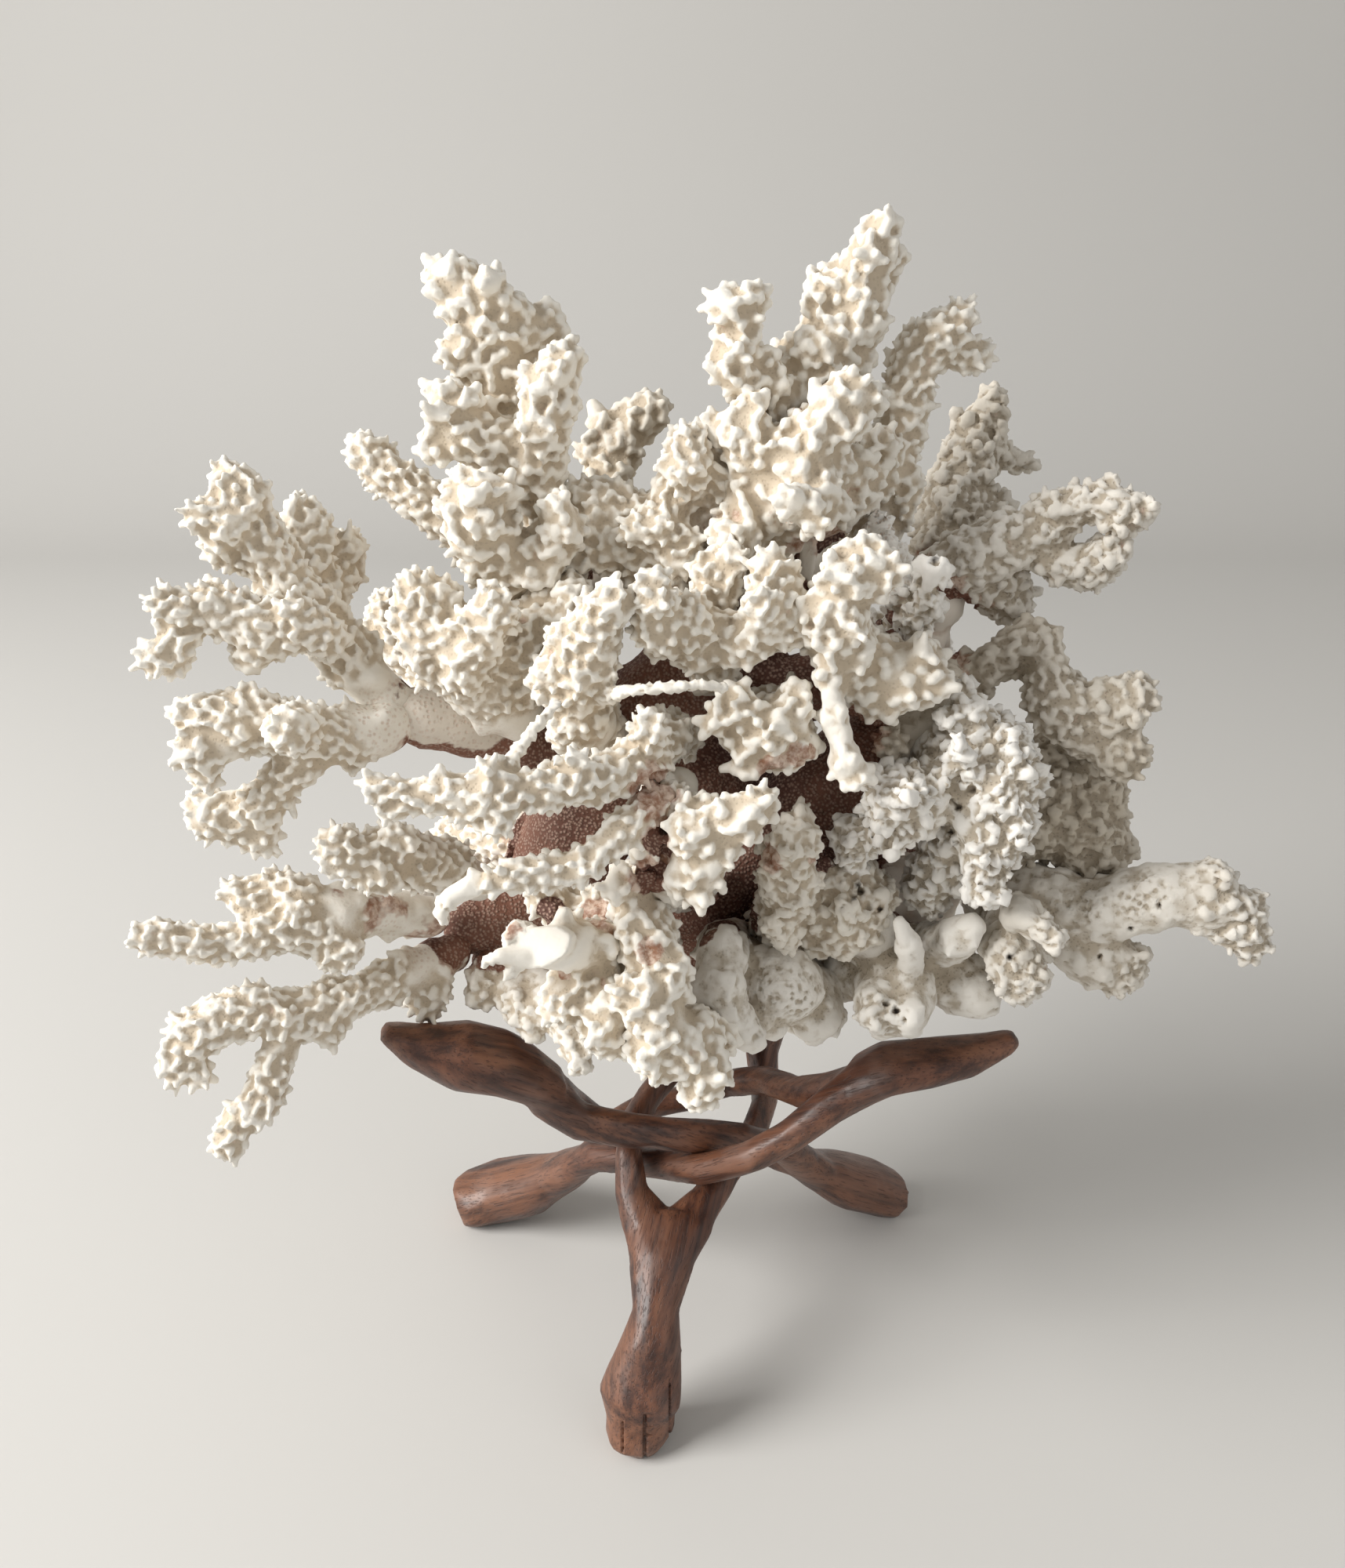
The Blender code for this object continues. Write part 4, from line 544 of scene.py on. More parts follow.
class Axes:
    # The middle lines of a piece's strands, to ask how far out and how far along a point lies.

    def __init__(self, strands):
        start, end, first, last, low, high, thin = [], [], [], [], [], [], []
        for stations in strands:
            points, radii = curved(stations)
            lengths = np.cumsum([0.0] + [(b - a).length for a, b in zip(points, points[1:])])
            for number in range(len(points) - 1):
                start.append(points[number])
                end.append(points[number + 1])
                first.append(radii[number])
                last.append(radii[number + 1])
                low.append(lengths[number] / lengths[-1])
                high.append(lengths[number + 1] / lengths[-1])
                thin.append(radii[number] < run["thin"] * mm)
        self.start, self.end = np.array(start), np.array(end)
        self.first, self.last = np.array(first), np.array(last)
        self.low, self.high = np.array(low), np.array(high)
        self.thin = np.array(thin)

    def ask(self, points):
        # distance from the axis, radius there, share of the way to the tip, direction, and whether it is thin
        found = []
        line = self.end - self.start
        size = np.maximum((line ** 2).sum(1), 1e-12)
        for chunk in np.array_split(points, max(1, len(points) // 4000)):
            toStart = (chunk ** 2).sum(1)[:, None] - 2 * chunk @ self.start.T + (self.start ** 2).sum(1)
            reach = chunk @ line.T - (self.start * line).sum(1)
            t = np.clip(reach / size, 0, 1)
            gap = np.sqrt(np.maximum(toStart - t * (2 * reach - t * size), 0))
            radius = self.first + t * (self.last - self.first)
            best = (gap - radius).argmin(1)
            rows = np.arange(len(chunk))
            t = t[rows, best]
            way = line[best] / np.sqrt(size[best])[:, None]
            share = self.low[best] + t * (self.high[best] - self.low[best])
            found.append(np.column_stack([gap[rows, best], radius[rows, best], share, way, self.thin[best]]))
        found = np.vstack(found)
        return found[:, 0], found[:, 1], found[:, 2], found[:, 3:6], found[:, 6] > 0.5


def ramp(value, low, high):
    t = np.clip((value - low) / (high - low), 0, 1)
    return t * t * (3 - 2 * t)


def noises(points, scale, seed, octaves=1):
    # Smooth noise from -1 to 1 at each point, with features about this many millimetres wide.
    spots = (points / (scale * mm) + (seed * 7.3, seed * 3.1, seed * 5.7)).tolist()
    if octaves == 1:
        return np.array([noise.noise(spot) for spot in spots])
    return np.array([noise.fractal(spot, 1.0, 2.0, octaves) for spot in spots])


def spotField(points, spots):
    # 1 in the middle of the nearest spot and 0 outside all of them.
    field = np.zeros(len(points))
    if not len(points):
        return field
    low, high = points.min(0), points.max(0)
    for spot in spots:
        centre, (radius,) = place(*spot)
        centre = np.array(centre)
        if (low - centre > 1.25 * radius).any() or (centre - high > 1.25 * radius).any():
            continue
        gap = np.linalg.norm(points - centre, axis=1)
        field = np.maximum(field, 1 - ramp(gap / radius, 0.45, 1.25))
    return field


def seen(points):
    # Where points lie across and up in the upright view, in millimetres: the reverse of place().
    deep = points[:, 1] / mm + view["deep"] + view["distance"]
    slope = (points[:, 2] / mm - view["height"]) / deep
    sin, cos = math.sin(view["tilt"]), math.cos(view["tilt"])
    lift = view["distance"] * (sin + slope * cos) / (cos - slope * sin)
    reach = deep / (view["distance"] * cos + lift * sin)
    return (points[:, 0] / mm + view["across"]) / reach, lift + view["middle"]


def evaluated(obj, name):
    graph = bpy.context.evaluated_depsgraph_get()
    mesh = bpy.data.meshes.new_from_object(obj.evaluated_get(graph))
    mesh.name = name
    old = obj.data
    obj.modifiers.clear()
    obj.data = mesh
    bpy.data.meshes.remove(old)


def reskin(obj, voxel, smoothing, ratio=1.0):
    # One skin over overlapping shapes, softened and thinned.
    skin = obj.modifiers.new("skin", "REMESH")
    skin.mode = "VOXEL"
    skin.voxel_size = voxel * mm
    if smoothing:
        soften = obj.modifiers.new("soften", "SMOOTH")
        soften.factor = 0.5
        soften.iterations = smoothing
    evaluated(obj, obj.name)
    if ratio < 1:
        thin(obj, ratio)


def thin(obj, ratio):
    fewer = obj.modifiers.new("fewer", "DECIMATE")
    fewer.ratio = ratio
    evaluated(obj, obj.name)


def coordinates(mesh):
    points = np.empty(len(mesh.vertices) * 3)
    mesh.vertices.foreach_get("co", points)
    return points.reshape(-1, 3)


def normals(mesh):
    out = np.empty(len(mesh.vertices) * 3)
    mesh.vertex_normals.foreach_get("vector", out)
    return out.reshape(-1, 3)


def moveTo(mesh, points):
    mesh.vertices.foreach_set("co", points.ravel())
    mesh.update()


def meshFrom(name, points, triangles):
    mesh = bpy.data.meshes.new(name)
    mesh.vertices.add(len(points))
    mesh.loops.add(len(triangles) * 3)
    mesh.polygons.add(len(triangles))
    mesh.vertices.foreach_set("co", np.ascontiguousarray(points, dtype=np.float32).ravel())
    mesh.loops.foreach_set("vertex_index", np.ascontiguousarray(triangles, dtype=np.int32).ravel())
    mesh.polygons.foreach_set("loop_start", np.arange(0, len(triangles) * 3, 3, dtype=np.int32))
    mesh.update(calc_edges=True)
    return mesh


def trianglesOf(mesh):
    mesh.calc_loop_triangles()
    corners = np.empty(len(mesh.loop_triangles) * 3, dtype=np.int32)
    mesh.loop_triangles.foreach_get("vertices", corners)
    return corners.reshape(-1, 3)


def arraysOf(bm):
    # the points and triangles of a bmesh, which is then freed
    bmesh.ops.recalc_face_normals(bm, faces=bm.faces)
    mesh = bpy.data.meshes.new("shape")
    bm.to_mesh(mesh)
    bm.free()
    found = coordinates(mesh), trianglesOf(mesh)
    bpy.data.meshes.remove(mesh)
    return found


def joined(shapes):
    # several sets of points and triangles as one
    starts = np.cumsum([0] + [len(points) for points, _ in shapes])
    return (np.vstack([points for points, _ in shapes]),
            np.vstack([triangles + start for (_, triangles), start in zip(shapes, starts)]))


def newPiece(name, mesh):
    obj = bpy.data.objects.new(name, mesh)
    bpy.context.scene.collection.objects.link(obj)
    return obj


def tubes(strands, shrink, knobs, chance, cut=None):
    # Cones and balls along every strand, thinner by the height of what will stand on them, with short lobes.
    # Without a shrink only the slim stretches are made.
    made = []
    for order, stations in enumerate(strands):
        bm = bmesh.new()
        points, radii = curved(stations)
        full = spotField(np.array(points), bareSpots + coatSpots["smooth"] + coatSpots["sawn"])
        for number, (start, end) in enumerate(zip(points, points[1:])):
            sizes = radii[number], radii[number + 1]
            slim = min(sizes) < run["thin"] * mm
            if slim and shrink is None:
                sizes = [size * run["slimness"] for size in sizes]
            elif not slim and shrink is not None:
                sizes = [max(size - shrink * (1 - full[number]) * mm, 0.45 * size) for size in sizes]
            else:
                continue
            addBall(bm, start, sizes[0], 2)
            addBall(bm, end, sizes[1], 2)
            addCone(bm, start, end, *sizes)
            if not slim and knobs:
                addLobes(bm, start, end, sizes[0], knobs, chance)
        if cut and order < cut["strands"]:
            bmesh.ops.bisect_plane(bm, geom=[*bm.verts, *bm.edges, *bm.faces], clear_outer=True,
                                   plane_co=place(*cut["centre"])[0], plane_no=cut["way"])
            bmesh.ops.holes_fill(bm, edges=bm.edges)
        made.append(arraysOf(bm))
    return joined(made)


def addLobes(bm, start, end, radius, size, chance):
    # short blunt fingers that stand out of a strand and lean towards its tip
    along = end - start
    side = along.orthogonal().normalized()
    other = along.normalized().cross(side)
    count = along.length / (run["lobeEvery"] * mm) * min(1.6, 0.5 + radius / (5 * mm))
    for _ in range(int(count + chance.random())):
        turn = chance.uniform(0, 2 * math.pi)
        lobe = min(radius, run["lobeMost"] * mm) * size * chance.uniform(*run["lobeSize"])
        way = math.cos(turn) * side + math.sin(turn) * other + along.normalized() * run["lobeLean"]
        way.normalize()
        foot = start + chance.random() * along + way * (radius - 0.5 * lobe)
        tip = foot + way * lobe * chance.uniform(*run["lobeOut"])
        addBall(bm, foot, lobe, 2)
        addBall(bm, tip, lobe * 0.86, 2)


def scatter(mesh, spacing, chance):
    # Points spread evenly over a skin, none nearer another than the spacing, with their normals.
    points, triangles, facing = coordinates(mesh), trianglesOf(mesh), normals(mesh)
    a, b, c = (points[triangles[:, k]] for k in range(3))
    area = np.linalg.norm(np.cross(b - a, c - a), axis=1) / 2
    tries = int(9 * area.sum() / (spacing * mm) ** 2)
    pick = chance.choice(len(area), tries, p=area / area.sum())
    share = chance.random((tries, 2))
    share[share.sum(1) > 1] = 1 - share[share.sum(1) > 1]
    weights = np.column_stack([1 - share.sum(1), share])
    spots = sum(weights[:, k, None] * points[triangles[pick, k]] for k in range(3))
    ways = sum(weights[:, k, None] * facing[triangles[pick, k]] for k in range(3))
    ways /= np.maximum(np.linalg.norm(ways, axis=1), 1e-9)[:, None]
    cells = np.floor(spots / (spacing * mm)).astype(int)
    taken, kept = {}, []
    near = [(x, y, z) for x in (-1, 0, 1) for y in (-1, 0, 1) for z in (-1, 0, 1)]
    limit = (spacing * mm) ** 2
    for number, ((i, j, k), spot) in enumerate(zip(cells.tolist(), spots.tolist())):
        free = True
        for x, y, z in near:
            for other in taken.get((i + x, j + y, k + z), ()):
                if (other[0] - spot[0]) ** 2 + (other[1] - spot[1]) ** 2 + (other[2] - spot[2]) ** 2 < limit:
                    free = False
                    break
            if not free:
                break
        if free:
            taken.setdefault((i, j, k), []).append(spot)
            kept.append(number)
    return spots[kept], ways[kept]


def pegShape():
    # a blunt peg of radius and height 1, its foot sunk below the skin
    profile = [(1.1, -0.35), (1.05, 0.25), (0.98, 0.6), (0.78, 0.88), (0.36, 1.0)]
    bm = bmesh.new()
    line = [bm.verts.new((radius, 0, height)) for radius, height in profile]
    edges = [bm.edges.new(pair) for pair in zip(line, line[1:])]
    bmesh.ops.spin(bm, geom=[*line, *edges], axis=(0, 0, 1), cent=(0, 0, 0), angle=2 * math.pi, steps=8,
                   use_merge=True)
    bmesh.ops.holes_fill(bm, edges=bm.edges)
    return arraysOf(bm)


peg = pegShape()


def pegMesh(spots, ways, radii, heights, chance):
    # All the pegs of a piece as one set of points and triangles.
    side = np.cross(ways, chance.normal(size=ways.shape))
    side /= np.maximum(np.linalg.norm(side, axis=1), 1e-9)[:, None]
    other = np.cross(ways, side)
    points, triangles = peg
    placed = (spots[:, None] + points[None, :, 0, None] * (side * radii[:, None])[:, None]
              + points[None, :, 1, None] * (other * radii[:, None])[:, None]
              + points[None, :, 2, None] * (ways * heights[:, None])[:, None])
    faces = triangles[None] + (np.arange(len(spots)) * len(points))[:, None, None]
    return placed.reshape(-1, 3), faces.reshape(-1, 3)


def survey(piece, axes, points):
    # the settings of the coat at each point, with its share of the way to the tip and the direction there
    gap, radius, share, along, isThin = axes.ask(points)
    weights = {piece["coat"]: np.ones(len(points))}

    def layOver(name, mask):
        for other in weights:
            weights[other] = weights[other] * (1 - mask)
        weights[name] = weights.get(name, 0) + mask

    if "ends" in piece:
        layOver(piece["ends"], ramp(share, piece["endsFrom"] - 0.15, piece["endsFrom"] + 0.1))
    if piece is not corals["trunk"]:
        for name, spots in coatSpots.items():
            layOver(name, spotField(points, spots))
    found = {key: sum(weight * coats[name][key] for name, weight in weights.items())
             for key in coats["pegged"]}
    return {**found, "share": share, "along": along, "isThin": isThin}


def flake(corners, thickness):
    # a thin plate with these corners
    bm = bmesh.new()
    face = bm.faces.new([bm.verts.new(corner) for corner in corners])
    face.normal_update()
    way = face.normal * thickness
    made = bmesh.ops.extrude_face_region(bm, geom=[face], use_keep_orig=True)["geom"]
    bmesh.ops.translate(bm, vec=way, verts=[part for part in made if isinstance(part, bmesh.types.BMVert)])
    bmesh.ops.translate(bm, vec=-way / 2, verts=bm.verts)
    return arraysOf(bm)


def standPegs(name, obj, piece, axes, chance, seed):
    # pegs over the skin, leaning towards the tips, and the slim strands whole
    groups = [(coordinates(obj.data), trianglesOf(obj.data))]
    slim = tubes(piece["strands"], None, 0, chance)
    if len(slim[0]):
        groups.append(slim)
    for corners, thickness in flakes.get(name, ()):
        groups.append(flake([place(*corner)[0] for corner in corners], thickness * mm))
    closest = min(coats[name]["spacing"] for name in (piece["coat"], piece.get("ends", "pegged")))
    spots, ways = scatter(obj.data, closest, chance)
    here = survey(piece, axes, spots)
    grow = ramp(here["share"], piece["bareRoot"], piece["bareRoot"] + 0.12) if piece["bareRoot"] else 1.0
    grow = grow * (1 - spotField(spots, bareSpots)) * np.where(here["isThin"], 0, 1)
    keep = (chance.random(len(spots)) < (closest / here["spacing"]) ** 2) & (grow > 0.3)
    if piece is not corals["trunk"]:
        deepIn = trunkAxes.ask(spots)
        keep &= deepIn[0] > deepIn[1] - 1.5 * mm
    spots, ways, grow = spots[keep], ways[keep], grow[keep]
    here = {key: value[keep] for key, value in here.items()}
    if len(spots):
        ways = ways + here["lean"][:, None] * here["along"] + chance.normal(scale=0.14, size=ways.shape)
        ways /= np.linalg.norm(ways, axis=1)[:, None]
        radii = here["size"] * chance.uniform(0.78, 1.18, len(spots)) * (0.6 + 0.4 * grow) * mm
        uneven = np.clip(0.97 + 0.6 * noises(spots, 7.0, seed), 0.45, 1.3)
        heights = here["height"] * chance.uniform(0.7, 1.3, len(spots)) * uneven * grow * mm
        groups.append(pegMesh(spots, ways, radii, heights, chance))
    old = obj.data
    obj.data = meshFrom(obj.name, *joined(groups))
    bpy.data.meshes.remove(old)


# Sizes and depths in millimetres of what is worked into the fused skin
surface = {"grit": 1.6, "pits": 2.6, "pitDepth": 2.4, "crumbs": 4.2, "crumbHeight": 2.6, "comb": 1.9,
           "combDepth": 0.7, "holeDepth": 2.2}


def roughen(name, obj, piece, axes, seed):
    # grit, pits and crumbs worked into the fused skin
    points, facing = coordinates(obj.data), normals(obj.data)
    here = survey(piece, axes, points)
    move = np.where(here["isThin"], 1.0, here["grit"]) * noises(points, surface["grit"], seed + 3, 3)
    if here["pits"].max() > 0:
        pits = ramp(noises(points, surface["pits"], seed + 5), 0.42, 0.58)
        move -= here["pits"] * pits * surface["pitDepth"]
    if here["crumbs"].max() > 0:
        crumbs = np.abs(noises(points, surface["crumbs"], seed + 7, 3))
        move += here["crumbs"] * (crumbs * surface["crumbHeight"] - 0.6)
    comb = spotField(points, combSpots)
    if comb.max() > 0:
        cells = np.ones(len(points))
        inside = np.flatnonzero(comb > 0)
        spots = (points[inside] / (surface["comb"] * mm)).tolist()
        cells[inside] = [noise.voronoi(spot)[0][0] for spot in spots]
        move -= comb * (1 - ramp(cells, 0.15, 0.5)) * surface["combDepth"]
    points = points + facing * (move * mm)[:, None]
    depth = holeField(name, points, facing)
    points -= facing * (depth * surface["holeDepth"] * mm)[:, None]
    moveTo(obj.data, points)


def holeField(name, points, facing):
    # 1 in the middle of each of the piece's holes, on the side that the view shows
    across, up = seen(points)
    field = np.zeros(len(points))
    for x, z, radius in holes.get(name, ()):
        gap = np.hypot(across - x, up - z) / radius
        field = np.maximum(field, (1 - ramp(gap, 0.55, 1.25)) * (facing[:, 1] < 0))
    return field


def bulges(mesh, rounds):
    # how far each vertex stands above its neighbourhood, in millimetres
    points = coordinates(mesh)
    ends = np.empty(len(mesh.edges) * 2, dtype=np.int32)
    mesh.edges.foreach_get("vertices", ends)
    ends = ends.reshape(-1, 2)
    count = np.maximum(np.bincount(ends.ravel(), minlength=len(points)), 1)
    level = points.copy()
    for _ in range(rounds):
        level = np.column_stack([np.bincount(ends[:, 0], level[ends[:, 1], k], len(points))
                                 + np.bincount(ends[:, 1], level[ends[:, 0], k], len(points))
                                 for k in range(3)]) / count[:, None]
    return ((points - level) * normals(mesh)).sum(1) / mm


def addMasks(name, obj, piece):
    # vertex values that the coral's finish reads: rise on bumps, which keeps the hollows in painted shade,
    # rust, brown skeleton, bare skin, pits, an age share that is partly painted shade, and holes that get
    # painted shade
    points = coordinates(obj.data)
    brown = piece.get("brown", 0.0) * (1 - spotField(points, paleSpots))
    brown = np.maximum(spotField(points, brownSpots), brown)
    rust, bare = spotField(points, rustSpots), spotField(points, bareSpots)
    if piece is not corals["trunk"]:  # a branch is brown where it leaves the trunk
        gap, radius = trunkAxes.ask(points)[:2]
        brown = np.maximum(brown, 1 - ramp((gap - radius) / mm, 0, 6))
        rust = np.maximum(rust, 0.65 * (1 - ramp((gap - radius) / mm, 3, 11)))
    rise = np.maximum(0.5 + bulges(obj.data, 6) * 0.95, spotField(points, coatSpots["sawn"]))
    masks = {"rise": np.clip(rise, 0, 1), "rust": rust * (1 - bare),
             "brown": brown * (1 - bare), "bare": bare, "comb": spotField(points, combSpots),
             "weatherAndShade": np.full(len(points), piece["weatherAndShade"]), "holeShade": holeField(name, points, normals(obj.data))}
    for mask, values in masks.items():
        obj.data.attributes.new(mask, "FLOAT", "POINT").data.foreach_set("value", values.astype(np.float32))


detail = {"baseVoxel": 1.5, "voxel": 0.74, "keep": 0.5, "trunkVoxel": 1.2}


def growPiece(name, piece, axes, seed):
    coat = coats[piece["coat"]]
    chance = np.random.default_rng(seed)
    shrink = 0.62 * coat["height"]
    shape = tubes(piece["strands"], shrink, coat["knobs"], chance, sawn if name == "stub" else None)
    obj = newPiece("coral_" + name, meshFrom("coral_" + name, *shape))
    reskin(obj, detail["baseVoxel"], 2)
    points = coordinates(obj.data)
    lumps = survey(piece, axes, points)["lumps"] * noises(points, 6.5, seed + 1)
    moveTo(obj.data, points + normals(obj.data) * (lumps * mm)[:, None])
    standPegs(name, obj, piece, axes, chance, seed)
    reskin(obj, detail["trunkVoxel" if piece is corals["trunk"] else "voxel"], 0)
    roughen(name, obj, piece, axes, seed)
    thin(obj, detail["keep"])
    obj.data.validate()
    addMasks(name, obj, piece)
    obj.data.polygons.foreach_set("use_smooth", np.ones(len(obj.data.polygons), dtype=bool))
    return obj


class Value:  # a socket that can be used in sums

    def __init__(self, finish, socket):
        self.finish, self.socket = finish, socket

    def math(self, operation, *others):
        return self.finish.node("ShaderNodeMath", {"operation": operation}, self, *others)

    def __add__(self, other):
        return self.math("ADD", other)

    def __mul__(self, other):
        return self.math("MULTIPLY", other)

    def __sub__(self, other):
        return self.math("SUBTRACT", other)

    def __rsub__(self, other):
        return self.finish.node("ShaderNodeMath", {"operation": "SUBTRACT"}, other, self)

    __radd__ = __add__
    __rmul__ = __mul__

    def fade(self, low, high):
        return self.finish.node("ShaderNodeMapRange", {"interpolation_type": "SMOOTHSTEP", "clamp": True},
                                self, low, high, 0.0, 1.0)


class Finish:  # one material and the nodes in it

    def __init__(self, name):
        self.material = bpy.data.materials.new(name)
        self.material.use_nodes = True
        self.tree = self.material.node_tree
        self.shader = self.tree.nodes["Principled BSDF"]

    def node(self, kind, settings, *inputs, out=0, **named):
        made = self.tree.nodes.new(kind)
        for key, value in settings.items():
            setattr(made, key, value)
        for key, value in [*enumerate(inputs), *named.items()]:
            self.put(made.inputs[key.replace("_", " ") if isinstance(key, str) else key], value)
        return Value(self, made.outputs[out])

    def put(self, socket, value):
        if isinstance(value, Value):
            self.tree.links.new(value.socket, socket)
        elif value is not None:
            socket.default_value = value

    def set(self, **values):
        for key, value in values.items():
            self.put(self.shader.inputs[key.replace("_", " ")], value)

    def read(self, name, out="Fac"):
        return self.node("ShaderNodeAttribute", {"attribute_name": name}, out=out)

    def where(self):
        return self.node("ShaderNodeTexCoord", {}, out="Object")

    def stretched(self, place, scale):
        return self.node("ShaderNodeMapping", {}, place, Scale=scale)

    def noise(self, place, scale, octaves=2.0, rough=0.5):
        return self.node("ShaderNodeTexNoise", {}, place, Scale=scale, Detail=octaves, Roughness=rough)

    def cells(self, place, scale):
        return self.node("ShaderNodeTexVoronoi", {}, place, Scale=scale)

    def mix(self, share, first, second):
        made = self.tree.nodes.new("ShaderNodeMix")
        made.data_type = "RGBA"
        for key, value in ((0, share), (6, first), (7, second)):
            if isinstance(value, tuple):
                value = (*value, 1.0)
            self.put(made.inputs[key], value)
        return Value(self, made.outputs[2])

    def bump(self, height, distance, strength):
        return self.node("ShaderNodeBump", {}, Height=height, Distance=distance, Strength=strength)


# Colours are (red, green, blue) from 0 to 1 in linear light
# The hollow colour of each look is painted shade: hollows between pegs and lumps come out darker and warmer
# than the white tips
coralLook = {
    "pale_coral": {"tip": (0.86, 0.825, 0.755), "hollowShade": (0.56, 0.475, 0.365), "pores": 0.25},
    "eroded_coral": {"tip": (0.88, 0.86, 0.82), "hollowShade": (0.52, 0.455, 0.365), "pores": 0.5},
    "granular_brown": {"tip": (0.76, 0.70, 0.62), "hollowShade": (0.52, 0.41, 0.32), "pores": 0.3},
}
# the first tone, the grey-beige of aged skin, is partly a weathered tone and partly painted shade
tones = {"weatherAndShade": (0.50, 0.435, 0.335), "rust": (0.24, 0.085, 0.035), "brown": (0.095, 0.042, 0.032),
         # the near-black tone for holes is painted shade
         "russet": (0.23, 0.105, 0.07), "grain": (0.46, 0.315, 0.25), "holeShade": (0.020, 0.013, 0.010),
         # the last tone is painted shade for pores and for the hollows of aged skin
         "sleeve": (0.66, 0.52, 0.43), "poreAndHollowShade": (0.34, 0.285, 0.215)}


def coralFinish(name, look):
    f = Finish(name)
    place = f.where()
    rise, rust, brown = f.read("rise"), f.read("rust"), f.read("brown")
    bare, weatherAndShade, comb = f.read("bare"), f.read("weatherAndShade"), f.read("comb")
    holeShade = f.read("holeShade")
    broad = f.noise(place, 28.0, 3.0)
    fine = f.noise(place, 420.0, 3.0, 0.6)
    grain = f.cells(place, 1050.0)
    pores = f.cells(place, 780.0)

    # pale skin: white tips and painted shade in the hollows, and a grey-beige tone where it has aged that is
    # partly weathering and partly painted shade
    height = (rise + (broad - 0.5) * 0.3).fade(0.25, 0.85)
    skin = f.mix(height, look["hollowShade"], look["tip"])
    # aged skin turns grey-beige, partly weathering and partly painted shade, with painted shade in its
    # hollows
    old = f.mix(height, tones["poreAndHollowShade"], tones["weatherAndShade"])
    skin = f.mix(weatherAndShade * broad.fade(0.3, 0.7) * 0.4 + weatherAndShade * 0.6, skin, old)
    # pores low between the bumps get painted shade
    shadedPores = (1 - grain.fade(0.15, 0.42)) * (1 - height) * look["pores"]
    skin = f.mix(shadedPores, skin, tones["poreAndHollowShade"])
    skin = f.mix(bare * 0.7, skin, f.mix(pores.fade(0.1, 0.5), tones["sleeve"], look["tip"]))

    # brown skeleton of small grains, and rust along its edges
    dots = 1 - grain.fade(0.16, 0.66)
    ground = f.mix(broad.fade(0.35, 0.65), tones["brown"], tones["russet"])
    granular = f.mix(dots * 0.75, ground, tones["grain"])
    patchy = f.noise(place, 110.0, 3.0, 0.6) - 0.5
    brownMask = (brown * 1.5 + (fine - 0.5) * 0.6 + patchy * 0.9 - rise * 0.25).fade(0.40, 0.62)
    rustMask = (rust * 1.4 + (fine - 0.5) * 0.8 + patchy * 3.0 - rise * 0.45).fade(0.35, 0.75)
    colour = f.mix(rustMask * 0.85, skin, f.mix(fine.fade(0.35, 0.65), tones["rust"], tones["sleeve"]))
    colour = f.mix(brownMask, colour, granular)
    # holes painted near black: painted shade inside them
    colour = f.mix(holeShade, colour, tones["holeShade"])

    pitted = (bare + comb) * (1 - pores.fade(0.1, 0.5)) * 0.4
    relief = fine * 0.35 + brownMask * dots * 0.9 - shadedPores * 0.8 - pitted
    f.set(Base_Color=colour, Roughness=0.62 + fine * 0.3, Normal=f.bump(relief, 0.0005, 0.8),
          Specular_IOR_Level=0.35)
    return f.material


woodLook = {"dark": (0.036, 0.012, 0.007), "middle": (0.128, 0.046, 0.023), "light": (0.235, 0.104, 0.056),
            "paintedSheen": (0.33, 0.22, 0.18)}


def woodFinish():
    f = Finish("carved wood")
    along = f.read("grain", "Vector")
    broad = f.noise(f.stretched(along, (8.0, 40.0, 40.0)), 1.0, 2.0)
    streaks = f.noise(f.stretched(along, (14.0, 330.0, 330.0)), 1.0, 4.0, 0.6)
    pores = f.noise(f.stretched(along, (160.0, 1900.0, 1900.0)), 1.0, 2.0)
    patches = f.noise(along, 70.0, 3.0, 0.6)
    colour = f.mix(streaks.fade(0.30, 0.66), woodLook["dark"], woodLook["middle"])
    colour = f.mix((broad * 0.7 + streaks * 0.5).fade(0.52, 0.80) * 0.75, colour, woodLook["light"])
    colour = f.mix((1 - pores.fade(0.33, 0.44)) * 0.55, colour, woodLook["dark"])
    # random patches of a pale pinkish painted sheen
    colour = f.mix(patches.fade(0.50, 0.78) * 0.22, colour, woodLook["paintedSheen"])
    relief = streaks * 0.5 + pores.fade(0.30, 0.45) * 0.7
    f.set(Base_Color=colour, Roughness=0.36 + patches * 0.22 + (1 - pores.fade(0.33, 0.44)) * 0.2,
          Normal=f.bump(relief, 0.00025, 0.7), Coat_Weight=0.28, Coat_Roughness=0.34)
    return f.material


woodWork = {"voxel": 1.0, "smoothing": 4, "swell": 0.18, "scoop": 0.55, "cell": 13.0,
            "stretch": 1.8, "crackDepth": 1.1, "crackReach": 2.2}

# Drying cracks in the front foot's end: (across, lowest, highest, half width) as the view shows them
cracks = {"stand_leg_front": [(-12.8, 2.0, 10, 0.4), (-7.0, 0.6, 12, 0.6), (-0.6, 3.0, 20, 0.35)]}


